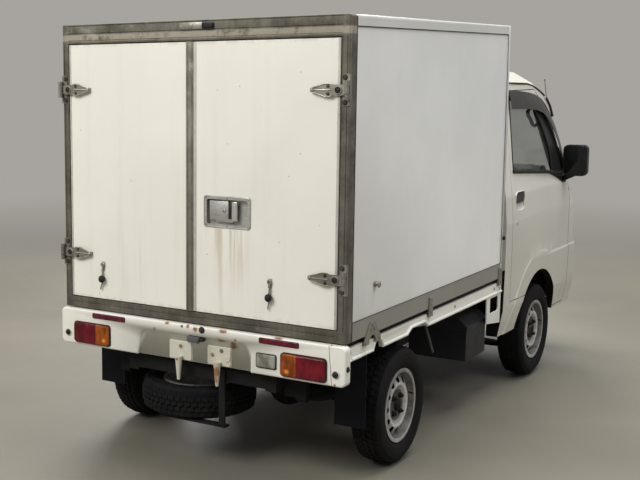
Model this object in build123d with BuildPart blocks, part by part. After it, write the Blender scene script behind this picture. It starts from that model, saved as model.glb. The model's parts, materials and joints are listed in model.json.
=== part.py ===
from build123d import *
import os
from math import cos, radians, sin, sqrt

os.makedirs("parts", exist_ok=True)

# All sizes are millimetres. X runs forward, Y to the left and Z up. The chassis, bed and box
# are drawn with x from the rear axle, the cab and front suspension with x from the front axle.
# Heights are from the truck's base line, which is the ground when the tyres have their
# standard radius. The model's origin is on the ground under the middle of the whole truck.

# Overall sizes
REAR_OVERHANG = 645
WHEELBASE = 1900
FRONT_OVERHANG = 850
FRONT_TRACK = 1305
REAR_TRACK = 1300
OVERALL_LENGTH = REAR_OVERHANG + WHEELBASE + FRONT_OVERHANG
REAR_AXLE_X = REAR_OVERHANG - OVERALL_LENGTH / 2
FRONT_AXLE_X = REAR_AXLE_X + WHEELBASE

# Running gaps and seats
FIT = 0.3
GAP = 5

# Tyres and rims
WHEEL_CENTRE_Z = 268
TYRE_RADIUS = 268
TYRE_WIDTH = 145
TYRE_BULGE_BELOW_TREAD = 50
RIM_RADIUS = 152.4
RIM_FLANGE_HEIGHT = 15.6
RIM_HALF_WIDTH = 56
RIM_WALL = 5
FLANGE_THICKNESS = 5
DISC_THICKNESS = 4
HUB_FACE = 36
DISC_RING_FACE = 46
DISC_SEAT = 24
HUB_BORE = 27
HAND_HOLES = 12
HAND_HOLE_RADIUS = 11
HAND_HOLE_CIRCLE = 118
STUD_HOLES = 4
STUD_HOLE_RADIUS = 6
STUD_CIRCLE = 50
BASE_Z = TYRE_RADIUS - WHEEL_CENTRE_Z

# Frame
RAIL_INNER = 335
RAIL_WIDTH = 50
RAIL_HEIGHT = 80
REAR_RAIL_BOTTOM = 400
FRONT_RAIL_BOTTOM = 290
RAIL_REAR_END = -560
RAIL_OUTER = RAIL_INNER + RAIL_WIDTH
rear_top = REAR_RAIL_BOTTOM + RAIL_HEIGHT
front_top = FRONT_RAIL_BOTTOM + RAIL_HEIGHT

# Load bed
BED_TOP = 640
BED_THICKNESS = 30
BED_HALF_WIDTH = 720
BED_REAR = -585
bed_bottom = BED_TOP - BED_THICKNESS

# Cab, with lengths from the front axle
CAB_REAR = -600
CAB_HALF_WIDTH = 731.5
CAB_WALL = 34
CAB_BOTTOM = 331
CAB_TOP = 1785
ARCH_CLEARANCE = 84
ARCH_RADIUS = TYRE_RADIUS + ARCH_CLEARANCE
FLARE_PROUD = 6
FLARE_WIDTH = 118
DECK_TOP = 662
FOOTWELL_TOP = 414
SHEET = 14
cab_tail = WHEELBASE + CAB_REAR

# Box body
BOX_WIDTH = 1452
BOX_REAR = -607
BOX_BOTTOM = 666
BOX_TOP = 1980
CAB_TO_BOX = 22
BOX_WALL = 27
POST_WIDTH = 38
HEADER_HEIGHT = 86
SILL_HEIGHT = 50
SIDE_RAIL_HEIGHT = 79
SIDE_RAIL_PROUD = 3
ROOF_RAIL_HEIGHT = 47
FRONT_TRIM = 40
BOX_FLOOR_THICKNESS = 54
BOX_DOOR_THICKNESS = 40
DOOR_MEETING_GAP = 8
DOOR_STOP = 20
DOOR_STOP_DEPTH = 9
box_half = BOX_WIDTH / 2
box_front_x = cab_tail - CAB_TO_BOX
portal_front = BOX_REAR + BOX_DOOR_THICKNESS + GAP + DOOR_STOP_DEPTH
front_panel_rear = box_front_x - FRONT_TRIM
rail_inner_y = box_half - POST_WIDTH
opening_top = BOX_TOP - HEADER_HEIGHT
opening_bottom = BOX_BOTTOM + SILL_HEIGHT
stop_rear = BOX_REAR + BOX_DOOR_THICKNESS + GAP

SIDES = (("left", 1), ("right", -1))


def side_plane(y, axle_x=REAR_AXLE_X):
    """Sketch plane seen from the right: x forward from an axle, z up, normal to the right."""
    return Plane(origin=(axle_x, y, BASE_Z), x_dir=(1, 0, 0), z_dir=(0, -1, 0))


def level_plane(z, axle_x=REAR_AXLE_X):
    """Sketch plane seen from above: x forward from an axle, y to the left."""
    return Plane(origin=(axle_x, 0, BASE_Z + z), x_dir=(1, 0, 0), z_dir=(0, 0, 1))


def cross_plane(x, axle_x=REAR_AXLE_X):
    """Sketch plane across the truck: y to the left, z up, normal forward."""
    return Plane(origin=(axle_x + x, 0, BASE_Z), x_dir=(0, 1, 0), z_dir=(1, 0, 0))


def place(x, y, z, axle_x=REAR_AXLE_X):
    return (axle_x + x, y, BASE_Z + z)


def block(low, high, axle_x=REAR_AXLE_X, mode=Mode.ADD):
    """A box between two corners, for use inside a part."""
    size = [high[i] - low[i] for i in range(3)]
    middle = [(high[i] + low[i]) / 2 for i in range(3)]
    with Locations(place(*middle, axle_x)):
        Box(*size, mode=mode)


def side_block(sign, low, high, axle_x=REAR_AXLE_X, mode=Mode.ADD):
    """A box given for the left side, which sign -1 mirrors to the right."""
    edges = sorted((sign * low[1], sign * high[1]))
    block((low[0], edges[0], low[2]), (high[0], edges[1], high[2]), axle_x, mode)


# Tyres and rims. The profile is drawn as radius against distance across the wheel.
def wheel_plane(x, y, side):
    """Half plane through a wheel's axis: local x is outward, local y is the radius."""
    return Plane(origin=place(x, y, WHEEL_CENTRE_Z), x_dir=(0, side, 0), z_dir=(-side, 0, 0))


def tyre_section(plane):
    half = TYRE_WIDTH / 2
    bead = RIM_HALF_WIDTH - FIT
    bulge = TYRE_RADIUS - TYRE_BULGE_BELOW_TREAD
    shoulder = (half - 16, TYRE_RADIUS - 8)
    toe = (bead, RIM_RADIUS + RIM_FLANGE_HEIGHT + 4)
    with BuildSketch(plane) as section:
        with BuildLine():
            ThreePointArc((-toe[0], toe[1]), (-half, bulge), (-shoulder[0], shoulder[1]))
            ThreePointArc((-shoulder[0], shoulder[1]), (0, TYRE_RADIUS), shoulder)
            ThreePointArc(shoulder, (half, bulge), toe)
            Polyline(toe, (bead, RIM_RADIUS + FIT), (-bead, RIM_RADIUS + FIT), (-toe[0], toe[1]))
        make_face()
    return section.sketch


def rim_section(plane):
    bore = RIM_RADIUS - RIM_WALL
    lip = RIM_RADIUS + RIM_FLANGE_HEIGHT
    outer = RIM_HALF_WIDTH + FLANGE_THICKNESS
    hub_outer = HUB_FACE + DISC_THICKNESS
    ring_outer = DISC_RING_FACE + DISC_THICKNESS
    with BuildSketch(plane) as section:
        with BuildLine():
            Polyline(
                (-outer, bore),
                (-outer, lip),
                (-RIM_HALF_WIDTH, lip),
                (-RIM_HALF_WIDTH, RIM_RADIUS),
                (RIM_HALF_WIDTH, RIM_RADIUS),
                (RIM_HALF_WIDTH, lip),
                (outer, lip),
                (outer, bore),
                (DISC_SEAT + DISC_THICKNESS, bore),
                (ring_outer, 104),
                (ring_outer, 92),
                (hub_outer, 74),
                (hub_outer, HUB_BORE),
                (HUB_FACE, HUB_BORE),
                (HUB_FACE, 76),
                (DISC_RING_FACE, 94),
                (DISC_RING_FACE, 102),
                (DISC_SEAT, bore - DISC_THICKNESS),
                (DISC_SEAT - 14, bore),
                (-outer, bore),
            )
        make_face()
    return section.sketch


def make_tyre(plane):
    with BuildPart() as tyre:
        revolve(tyre_section(plane), axis=Axis(plane.origin, plane.x_dir))
    return tyre


def make_rim(plane):
    with BuildPart() as rim:
        revolve(rim_section(plane), axis=Axis(plane.origin, plane.x_dir))
        disc_plane = Plane(origin=plane.origin, x_dir=plane.y_dir, z_dir=plane.x_dir)
        with BuildSketch(disc_plane):
            with PolarLocations(HAND_HOLE_CIRCLE, HAND_HOLES):
                Circle(HAND_HOLE_RADIUS)
            with PolarLocations(STUD_CIRCLE, STUD_HOLES, start_angle=45):
                Circle(STUD_HOLE_RADIUS)
        extrude(amount=RIM_HALF_WIDTH, mode=Mode.SUBTRACT)
    return rim


# axle, x from the rear axle, track
AXLES = (("front", WHEELBASE, FRONT_TRACK), ("rear", 0, REAR_TRACK))
for axle, axle_x, track in AXLES:
    for side, sign in SIDES:
        corner = wheel_plane(axle_x, sign * track / 2, sign)
        tyre = make_tyre(corner)
        tyre.part.label = f"tyre_{axle}_{side}"
        export_step(tyre.part, f"parts/tyre_{axle}_{side}.step")
        rim = make_rim(corner)
        rim.part.label = f"rim_{axle}_{side}"
        export_step(rim.part, f"parts/rim_{axle}_{side}.step")

# Spare wheel, lying flat under the tail with its outer side down
SPARE_BEHIND_TUBE = 47
AXLE_TUBE_RADIUS = 30
SPARE_X = -AXLE_TUBE_RADIUS - SPARE_BEHIND_TUBE - TYRE_RADIUS
SPARE_Y = 140
SPARE_BOTTOM = 212
spare_plane = Plane(
    origin=place(SPARE_X, SPARE_Y, SPARE_BOTTOM + TYRE_WIDTH / 2), x_dir=(0, 0, -1), z_dir=(0, 1, 0)
)
spare_tyre = make_tyre(spare_plane)
spare_tyre.part.label = "spare_tyre"
export_step(spare_tyre.part, "parts/spare_tyre.step")
spare_rim = make_rim(spare_plane)
spare_rim.part.label = "spare_rim"
export_step(spare_rim.part, "parts/spare_rim.step")

# Ladder frame: two box rails that step down under the cab, and cross members
RAIL_FRONT_SETBACK = 270
RAIL_STEP_LENGTH = 140
RAIL_STEP_SHIFT = 20
FRAME_CROSS_WIDTH = 40
TIE_DOWN_SETBACK = 70
TIE_DOWN_RADIUS = 14
TIE_DOWN_HEIGHT = 21
rail_front_end = WHEELBASE + FRONT_OVERHANG - RAIL_FRONT_SETBACK
step_end = cab_tail + RAIL_STEP_LENGTH
# x of each cross member, bottom, top
FRAME_CROSSES = (
    (RAIL_REAR_END, REAR_RAIL_BOTTOM + 10, rear_top - 10),
    (480, REAR_RAIL_BOTTOM + 10, rear_top - 10),
    (cab_tail - 120, REAR_RAIL_BOTTOM + 10, rear_top - 10),
    (WHEELBASE - 100, FRONT_RAIL_BOTTOM + 5, front_top - 15),
    (rail_front_end - FRAME_CROSS_WIDTH, FRONT_RAIL_BOTTOM + 5, front_top - 5),
)
with BuildPart() as frame_rails:
    for sign in (1, -1):
        with BuildSketch(side_plane(sign * (RAIL_INNER + RAIL_WIDTH / 2))):
            Polygon(
                (RAIL_REAR_END, REAR_RAIL_BOTTOM),
                (cab_tail, REAR_RAIL_BOTTOM),
                (step_end, FRONT_RAIL_BOTTOM),
                (rail_front_end, FRONT_RAIL_BOTTOM),
                (rail_front_end, front_top),
                (step_end + RAIL_STEP_SHIFT, front_top),
                (cab_tail + RAIL_STEP_SHIFT, rear_top),
                (RAIL_REAR_END, rear_top),
                align=None,
            )
        extrude(amount=RAIL_WIDTH / 2, both=True)
    with BuildSketch(side_plane(0)):
        with Locations((rail_front_end - TIE_DOWN_SETBACK, FRONT_RAIL_BOTTOM + TIE_DOWN_HEIGHT)):
            Circle(TIE_DOWN_RADIUS)
    extrude(amount=RAIL_OUTER, both=True, mode=Mode.SUBTRACT)
    for x, low, high in FRAME_CROSSES:
        block((x, -RAIL_INNER, low), (x + FRAME_CROSS_WIDTH, RAIL_INNER, high))
frame_rails.part.label = "frame_rails"
export_step(frame_rails.part, "parts/frame_rails.step")

# Rear axle: tube, differential, brake drums
DRUM_RADIUS = 104
DRUM_DEPTH = 66
DIFF_RADIUS = 92
DIFF_Y = -140
PINION_RADIUS = 46
PINION_END = 150
HUB_PILOT = 16
rear_hub_face = REAR_TRACK / 2 + HUB_FACE - FIT
drum_inner = rear_hub_face - DRUM_DEPTH
with BuildPart() as rear_axle:
    with BuildSketch(side_plane(0)):
        with Locations((0, WHEEL_CENTRE_Z)):
            Circle(AXLE_TUBE_RADIUS)
    extrude(amount=drum_inner + DISC_THICKNESS, both=True)
    for sign in (1, -1):
        with BuildSketch(side_plane(sign * drum_inner)):
            with Locations((0, WHEEL_CENTRE_Z)):
                Circle(DRUM_RADIUS)
        extrude(amount=-sign * DRUM_DEPTH)
        with BuildSketch(side_plane(sign * rear_hub_face)):
            with Locations((0, WHEEL_CENTRE_Z)):
                Circle(HUB_BORE - FIT)
        extrude(amount=-sign * HUB_PILOT)
    with Locations(place(10, DIFF_Y, WHEEL_CENTRE_Z)):
        Sphere(DIFF_RADIUS)
    with BuildSketch(cross_plane(60)):
        with Locations((DIFF_Y, WHEEL_CENTRE_Z)):
            Circle(PINION_RADIUS)
    extrude(amount=PINION_END - 60)
rear_axle.part.label = "rear_axle"
export_step(rear_axle.part, "parts/rear_axle.step")

# Leaf springs over the axle, with their eyes on hangers outside the rails
SPRING_Y = 465
SPRING_WIDTH = 50
SPRING_HALF_SPAN = 470
SPRING_EYE_Z = 372
SPRING_THICKNESS = 26
SPRING_TIP = 8
EYE_RADIUS = 18
HANGER_HALF_LENGTH = 16
spring_seat_z = WHEEL_CENTRE_Z + AXLE_TUBE_RADIUS
with BuildPart() as leaf_springs:
    for sign in (1, -1):
        tip_low = SPRING_EYE_Z - SPRING_TIP
        with BuildSketch(side_plane(sign * SPRING_Y)):
            with BuildLine():
                ThreePointArc(
                    (-SPRING_HALF_SPAN, tip_low), (0, spring_seat_z + FIT), (SPRING_HALF_SPAN, tip_low)
                )
                Line((SPRING_HALF_SPAN, tip_low), (SPRING_HALF_SPAN, SPRING_EYE_Z))
                ThreePointArc(
                    (SPRING_HALF_SPAN, SPRING_EYE_Z),
                    (0, spring_seat_z + SPRING_THICKNESS),
                    (-SPRING_HALF_SPAN, SPRING_EYE_Z),
                )
                Line((-SPRING_HALF_SPAN, SPRING_EYE_Z), (-SPRING_HALF_SPAN, tip_low))
            make_face()
            with Locations((-SPRING_HALF_SPAN, SPRING_EYE_Z), (SPRING_HALF_SPAN, SPRING_EYE_Z)):
                Circle(EYE_RADIUS)
        extrude(amount=SPRING_WIDTH / 2, both=True)
        for x in (-SPRING_HALF_SPAN, SPRING_HALF_SPAN):
            side_block(
                sign,
                (x - HANGER_HALF_LENGTH, RAIL_OUTER, SPRING_EYE_Z),
                (x + HANGER_HALF_LENGTH, SPRING_Y + SPRING_WIDTH / 2, rear_top - 20),
            )
leaf_springs.part.label = "leaf_springs"
export_step(leaf_springs.part, "parts/leaf_springs.step")

# Engine under the seats, one plain block with its gearbox, and the shaft to the rear axle
ENGINE_HALF_WIDTH = 230
GEARBOX_LENGTH = 330
SHAFT_RADIUS = 26
MOUNT_BAR = (300, 360, 310, 350)
engine_rear = cab_tail + 30
gearbox_rear = engine_rear - GEARBOX_LENGTH
with BuildPart() as engine:
    block((engine_rear, -ENGINE_HALF_WIDTH, 225), (WHEELBASE - 110, ENGINE_HALF_WIDTH, 630))
    block((gearbox_rear, -ENGINE_HALF_WIDTH, 250), (engine_rear, DIFF_Y + 90, rear_top - RAIL_HEIGHT))
    block(
        (cab_tail + MOUNT_BAR[0], -RAIL_INNER, MOUNT_BAR[2]),
        (cab_tail + MOUNT_BAR[1], RAIL_INNER, MOUNT_BAR[3]),
    )
engine.part.label = "engine"
export_step(engine.part, "parts/engine.step")

with BuildPart() as drive_shaft:
    with BuildSketch(cross_plane(PINION_END + FIT)):
        with Locations((DIFF_Y, WHEEL_CENTRE_Z)):
            Circle(SHAFT_RADIUS)
    extrude(amount=gearbox_rear - PINION_END - 2 * FIT)
drive_shaft.part.label = "drive_shaft"
export_step(drive_shaft.part, "parts/drive_shaft.step")

# Fuel tank on the left, battery box on the right, both hung outside the rails
TANK_OUTER = 690
TANK_FROM_CAB = 560
TANK_TO_CAB = 170
tank_rear = cab_tail - TANK_FROM_CAB
tank_front = cab_tail - TANK_TO_CAB
with BuildPart() as fuel_tank:
    block((tank_rear, RAIL_OUTER, 265), (tank_front, TANK_OUTER, 505))
    fillet(fuel_tank.edges().filter_by(Axis.X), radius=30)
fuel_tank.part.label = "fuel_tank"
export_step(fuel_tank.part, "parts/fuel_tank.step")

BATTERY_LID = 6
BATTERY_LID_DEPTH = 26
BATTERY_FROM_CAB = 438
BATTERY_TO_CAB = 158
BATTERY_BOTTOM = 285
BATTERY_SHOULDER = (TANK_OUTER, 465)
BATTERY_TOP = (TANK_OUTER - 44, 502)
battery_rear = cab_tail - BATTERY_FROM_CAB
battery_front = cab_tail - BATTERY_TO_CAB
lid_bottom = BATTERY_SHOULDER[1] - BATTERY_LID_DEPTH
with BuildPart() as battery_box:
    with BuildSketch(cross_plane(battery_rear)):
        Polygon(
            (-RAIL_OUTER, BATTERY_BOTTOM),
            (-TANK_OUTER, BATTERY_BOTTOM),
            (-BATTERY_SHOULDER[0], BATTERY_SHOULDER[1]),
            (-BATTERY_TOP[0], BATTERY_TOP[1]),
            (-RAIL_OUTER, BATTERY_TOP[1]),
            align=None,
        )
    extrude(amount=battery_front - battery_rear)
    with BuildSketch(cross_plane(battery_rear - BATTERY_LID)):
        Polygon(
            (-RAIL_OUTER, lid_bottom),
            (-TANK_OUTER - BATTERY_LID, lid_bottom),
            (-BATTERY_SHOULDER[0] - BATTERY_LID, BATTERY_SHOULDER[1] + BATTERY_LID / 2),
            (-BATTERY_TOP[0], BATTERY_TOP[1] + BATTERY_LID),
            (-RAIL_OUTER, BATTERY_TOP[1] + BATTERY_LID),
            align=None,
        )
    extrude(amount=battery_front - battery_rear + 2 * BATTERY_LID)
battery_box.part.label = "battery_box"
export_step(battery_box.part, "parts/battery_box.step")

# Exhaust: an oval silencer on the left and its pipe from the engine
SILENCER_Y = 240
SILENCER_Z = 330
SILENCER_X = (200, 620)
with BuildPart() as exhaust:
    with BuildSketch(cross_plane(SILENCER_X[0])):
        with Locations((SILENCER_Y, SILENCER_Z)):
            Ellipse(90, 55)
    extrude(amount=SILENCER_X[1] - SILENCER_X[0])
    with BuildSketch(cross_plane(SILENCER_X[1])):
        with Locations((ENGINE_HALF_WIDTH - 20, SILENCER_Z)):
            Circle(20)
    extrude(amount=engine_rear - SILENCER_X[1] - FIT)
    with BuildSketch(cross_plane(SILENCER_X[0])):
        with Locations((SILENCER_Y + 30, SILENCER_Z)):
            Circle(17)
    extrude(amount=-90)
exhaust.part.label = "exhaust"
export_step(exhaust.part, "parts/exhaust.step")

# Load bed: floor, tapered cross members on the rails, white side rails with their wheel
# notches, a drilled bracket at the front of each rail, and a tail ledge for the lamp panel
LAMP_PROUD = 17
PANEL_REAR = LAMP_PROUD - REAR_OVERHANG
PANEL_HALF_WIDTH = 737
PANEL_BOTTOM = 490
PANEL_TOP = 660
PANEL_WALL = 4
RECESS_LEFT = 295
RECESS_RIGHT = -300
RECESS_TOP = 615
RECESS_DEPTH = 26
RECESS_CORNER = 50
PANEL_LEDGE_HALF_WIDTH = 640
BED_SIDE_RAIL_DEPTH = 55
BED_SIDE_RAIL_THICKNESS = 16
BED_CROSS_WIDTH = 60
BED_CROSS_TIP = 30
RAIL_LIP = 5
BRACKET_PLATE = 6
bed_front = cab_tail - 20
rail_low = BED_TOP - BED_SIDE_RAIL_DEPTH
BED_CROSSES = (-500, cab_tail - 960, cab_tail - 640, cab_tail - 150)
with BuildPart() as load_bed:
    block((BED_REAR, -BED_HALF_WIDTH, bed_bottom), (bed_front, BED_HALF_WIDTH, BED_TOP))
    for x in BED_CROSSES:
        with BuildSketch(cross_plane(x)):
            Polygon(
                (-BED_HALF_WIDTH, bed_bottom),
                (-BED_HALF_WIDTH, bed_bottom - BED_CROSS_TIP),
                (-RAIL_OUTER, rear_top),
                (RAIL_OUTER, rear_top),
                (BED_HALF_WIDTH, bed_bottom - BED_CROSS_TIP),
                (BED_HALF_WIDTH, bed_bottom),
                align=None,
            )
        extrude(amount=BED_CROSS_WIDTH)
    for sign in (1, -1):
        inner = BED_HALF_WIDTH - BED_SIDE_RAIL_THICKNESS
        side_block(sign, (BED_REAR, inner, rail_low), (bed_front, BED_HALF_WIDTH, BED_TOP))
        side_block(
            sign,
            (BED_REAR, BED_HALF_WIDTH, rail_low),
            (bed_front, BED_HALF_WIDTH + RAIL_LIP, rail_low + RAIL_LIP),
        )
        with BuildSketch(side_plane(sign * (inner - 1))):
            with Locations((-283, rail_low)):
                Circle(46)
            Polygon(
                (30, rail_low - 1),
                (75, rail_low + 24),
                (225, rail_low + 24),
                (262, rail_low - 1),
                align=None,
            )
        extrude(amount=-sign * (BED_SIDE_RAIL_THICKNESS + RAIL_LIP + 2), mode=Mode.SUBTRACT)
        with BuildSketch(side_plane(sign * BED_HALF_WIDTH)):
            Polygon(
                (bed_front - 216, rail_low + 4),
                (bed_front - 210, 446),
                (bed_front - 8, 420),
                (bed_front - 2, rail_low + 4),
                align=None,
            )
            with Locations((bed_front - 102, 533)):
                RectangleRounded(124, 80, 10, mode=Mode.SUBTRACT)
        extrude(amount=sign * BRACKET_PLATE)
    block(
        (PANEL_REAR + PANEL_WALL, -PANEL_LEDGE_HALF_WIDTH, RECESS_TOP + PANEL_WALL + FIT),
        (BED_REAR, PANEL_LEDGE_HALF_WIDTH, BED_TOP),
    )
load_bed.part.label = "load_bed"
export_step(load_bed.part, "parts/load_bed.step")

# Rear lamp panel: a pressed pan across the tail, open to the front, with a recess whose upper
# corners are round and whose lower side is open
PANEL_CORNER = 24
PANEL_EDGE = 9
with BuildPart() as lamp_panel:
    panel_middle = (0, (PANEL_BOTTOM + PANEL_TOP) / 2)
    panel_height = PANEL_TOP - PANEL_BOTTOM
    with BuildSketch(cross_plane(PANEL_REAR)):
        with Locations(panel_middle):
            RectangleRounded(2 * PANEL_HALF_WIDTH, panel_height, PANEL_CORNER)
    extrude(amount=BED_REAR - PANEL_REAR)
    fillet(lamp_panel.faces().sort_by(Axis.X)[0].edges(), radius=PANEL_EDGE)
    with BuildSketch(cross_plane(PANEL_REAR + PANEL_WALL)):
        with Locations(panel_middle):
            RectangleRounded(
                2 * (PANEL_HALF_WIDTH - PANEL_WALL),
                panel_height - 2 * PANEL_WALL,
                PANEL_CORNER - PANEL_WALL,
            )
    extrude(amount=BED_REAR - PANEL_REAR, mode=Mode.SUBTRACT)
    block(
        (PANEL_REAR + PANEL_WALL, RECESS_RIGHT - PANEL_WALL, PANEL_BOTTOM),
        (PANEL_REAR + RECESS_DEPTH + PANEL_WALL, RECESS_LEFT + PANEL_WALL, RECESS_TOP + PANEL_WALL),
    )
    with BuildSketch(cross_plane(PANEL_REAR - 1)) as recess:
        Polygon(
            (RECESS_LEFT, PANEL_BOTTOM - 10),
            (RECESS_RIGHT, PANEL_BOTTOM - 10),
            (RECESS_RIGHT, RECESS_TOP),
            (RECESS_LEFT, RECESS_TOP),
            align=None,
        )
        fillet(recess.vertices().group_by(Axis.Y)[-1], radius=RECESS_CORNER)
    extrude(amount=RECESS_DEPTH + 1, mode=Mode.SUBTRACT)
lamp_panel.part.label = "lamp_panel"
export_step(lamp_panel.part, "parts/lamp_panel.step")

# Lamps on the panel: y low, y high, z low, z high, how far each stands proud, corner radius
REAR_LAMPS = (
    (447, 652, 505, 600, LAMP_PROUD, 14),
    (-652, -447, 505, 600, LAMP_PROUD, 14),
    (-420, -330, 525, 582, 8, 6),
    (362, 548, 628, 650, 6, 6),
    (-526, -340, 628, 650, 6, 6),
)
with BuildPart() as rear_lamps:
    for y_low, y_high, z_low, z_high, proud, corner in REAR_LAMPS:
        with BuildSketch(cross_plane(PANEL_REAR)):
            with Locations(((y_low + y_high) / 2, (z_low + z_high) / 2)):
                RectangleRounded(y_high - y_low, z_high - z_low, corner)
        extrude(amount=-proud)
rear_lamps.part.label = "rear_lamps"
export_step(rear_lamps.part, "parts/rear_lamps.step")

# Two hook plates in the recess, each with a tapering hook that points down
HOOKS = (70, -130)
HOOK_PLATE = (116, 80, 8)
HOOK_PROUD = 22
hook_back = PANEL_REAR + RECESS_DEPTH
with BuildPart() as rear_hooks:
    for y in HOOKS:
        with BuildSketch(cross_plane(hook_back)):
            with Locations((y, 535)):
                RectangleRounded(HOOK_PLATE[0], HOOK_PLATE[1], 10)
        extrude(amount=-HOOK_PLATE[2])
        for z, radius in ((512, 17), (405, 7)):
            with BuildSketch(Plane(origin=place(hook_back - HOOK_PROUD, y, z), z_dir=(0, 0, -1))):
                Circle(radius)
        loft()
rear_hooks.part.label = "rear_hooks"
export_step(rear_hooks.part, "parts/rear_hooks.step")

# Mudflaps behind the rear wheels, hung from the bed
FLAP_X = -360
FLAP_THICKNESS = 6
FLAP_INNER = 560
FLAP_BOTTOM = 245
with BuildPart() as mudflaps:
    for sign in (1, -1):
        flap_outer = BED_HALF_WIDTH - BED_SIDE_RAIL_THICKNESS
        side_block(
            sign, (FLAP_X, FLAP_INNER, FLAP_BOTTOM), (FLAP_X + FLAP_THICKNESS, flap_outer, bed_bottom)
        )
mudflaps.part.label = "mudflaps"
export_step(mudflaps.part, "parts/mudflaps.step")

# Spare wheel carrier: a hanger from the rear cross member and a bar under the wheel
CARRIER_Y = -120
CARRIER_HALF_WIDTH = 16
CARRIER_STOCK = 8
carrier_low = SPARE_BOTTOM - CARRIER_STOCK - 2
carrier_top = SPARE_BOTTOM - FIT
hanger_x = RAIL_REAR_END - CARRIER_STOCK
with BuildPart() as spare_carrier:
    block(
        (hanger_x, CARRIER_Y - CARRIER_HALF_WIDTH, carrier_low),
        (RAIL_REAR_END, CARRIER_Y + CARRIER_HALF_WIDTH, rear_top - 12),
    )
    block(
        (hanger_x, CARRIER_Y - CARRIER_HALF_WIDTH, carrier_low),
        (RAIL_REAR_END + 32, SPARE_Y + 60, carrier_top),
    )
    block(
        (RAIL_REAR_END, SPARE_Y - 20, carrier_low),
        (SPARE_X + TYRE_RADIUS + 32, SPARE_Y + 20, carrier_top),
    )
spare_carrier.part.label = "spare_carrier"
export_step(spare_carrier.part, "parts/spare_carrier.step")

# Rear frame of the box: posts, header and sill round the door opening, with stops behind the
# doors and grooves along the sections
GROOVE = 3
HEADER_GROOVES = (BOX_TOP - 8, BOX_TOP - 42, BOX_TOP - 74)
SILL_GROOVES = (BOX_BOTTOM + 24,)
POST_GROOVE_INSET = 12
ROOF_EDGE = 12
with BuildPart() as box_frame:
    block((BOX_REAR, -box_half, BOX_BOTTOM), (portal_front, box_half, BOX_TOP))
    portal_posts = box_frame.edges().filter_by(Axis.Z).group_by(Axis.X)[0]
    portal_eaves = box_frame.edges().filter_by(Axis.X).group_by(Axis.Z)[-1]
    fillet(portal_posts + portal_eaves, radius=ROOF_EDGE)
    with BuildSketch(cross_plane(BOX_REAR)):
        with Locations((0, (opening_bottom + opening_top) / 2)):
            Rectangle(2 * rail_inner_y, opening_top - opening_bottom)
    extrude(amount=BOX_DOOR_THICKNESS + GAP, mode=Mode.SUBTRACT)
    with BuildSketch(cross_plane(BOX_REAR)):
        with Locations((0, (opening_bottom + opening_top) / 2)):
            Rectangle(2 * (rail_inner_y - DOOR_STOP), opening_top - opening_bottom - 2 * DOOR_STOP)
    extrude(amount=portal_front - BOX_REAR, mode=Mode.SUBTRACT)
    for z in HEADER_GROOVES + SILL_GROOVES:
        block(
            (BOX_REAR, -rail_inner_y, z),
            (BOX_REAR + GROOVE, rail_inner_y, z + GROOVE),
            mode=Mode.SUBTRACT,
        )
    for sign in (1, -1):
        groove_y = box_half - POST_GROOVE_INSET
        side_block(
            sign,
            (BOX_REAR, groove_y - GROOVE, opening_bottom),
            (BOX_REAR + GROOVE, groove_y, opening_top),
            mode=Mode.SUBTRACT,
        )
box_frame.part.label = "box_frame"
export_step(box_frame.part, "parts/box_frame.step")

# Box sides: a thick panel between a proud lower rail and the roof rail
for side, sign in SIDES:
    with BuildPart() as box_side:
        skin = box_half - SIDE_RAIL_PROUD
        with BuildSketch(cross_plane(portal_front)):
            Polygon(
                (sign * rail_inner_y, BOX_BOTTOM),
                (sign * box_half, BOX_BOTTOM),
                (sign * box_half, BOX_BOTTOM + SIDE_RAIL_HEIGHT),
                (sign * skin, BOX_BOTTOM + SIDE_RAIL_HEIGHT),
                (sign * skin, BOX_TOP - ROOF_RAIL_HEIGHT),
                (sign * (skin - BOX_WALL), BOX_TOP - ROOF_RAIL_HEIGHT),
                (sign * (skin - BOX_WALL), BOX_BOTTOM + SIDE_RAIL_HEIGHT),
                (sign * rail_inner_y, BOX_BOTTOM + SIDE_RAIL_HEIGHT),
                align=None,
            )
        extrude(amount=front_panel_rear - portal_front)
    box_side.part.label = f"box_side_{side}"
    export_step(box_side.part, f"parts/box_side_{side}.step")

with BuildPart() as box_roof:
    block((portal_front, -box_half, BOX_TOP - ROOF_RAIL_HEIGHT), (front_panel_rear, box_half, BOX_TOP))
    fillet(box_roof.edges().filter_by(Axis.X).group_by(Axis.Z)[-1], radius=ROOF_EDGE)
    block(
        (portal_front, -rail_inner_y, BOX_TOP - ROOF_RAIL_HEIGHT),
        (front_panel_rear, rail_inner_y, BOX_TOP - BOX_WALL),
        mode=Mode.SUBTRACT,
    )
box_roof.part.label = "box_roof"
export_step(box_roof.part, "parts/box_roof.step")

with BuildPart() as box_front:
    block((front_panel_rear, -box_half, BOX_BOTTOM), (box_front_x, box_half, BOX_TOP))
    fillet(box_front.edges().filter_by(Axis.Z).group_by(Axis.X)[-1], radius=12)
    fillet(box_front.edges().filter_by(Axis.X).group_by(Axis.Z)[-1], radius=ROOF_EDGE)
box_front.part.label = "box_front"
export_step(box_front.part, "parts/box_front.step")

SLEEPER_Y = 360
SLEEPER_WIDTH = 80
with BuildPart() as box_floor:
    block(
        (portal_front, -rail_inner_y, BOX_BOTTOM),
        (front_panel_rear, rail_inner_y, BOX_BOTTOM + BOX_FLOOR_THICKNESS),
    )
    for sign in (1, -1):
        side_block(
            sign,
            (portal_front, SLEEPER_Y - SLEEPER_WIDTH / 2, BED_TOP),
            (front_panel_rear, SLEEPER_Y + SLEEPER_WIDTH / 2, BOX_BOTTOM),
        )
box_floor.part.label = "box_floor"
export_step(box_floor.part, "parts/box_floor.step")

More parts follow.
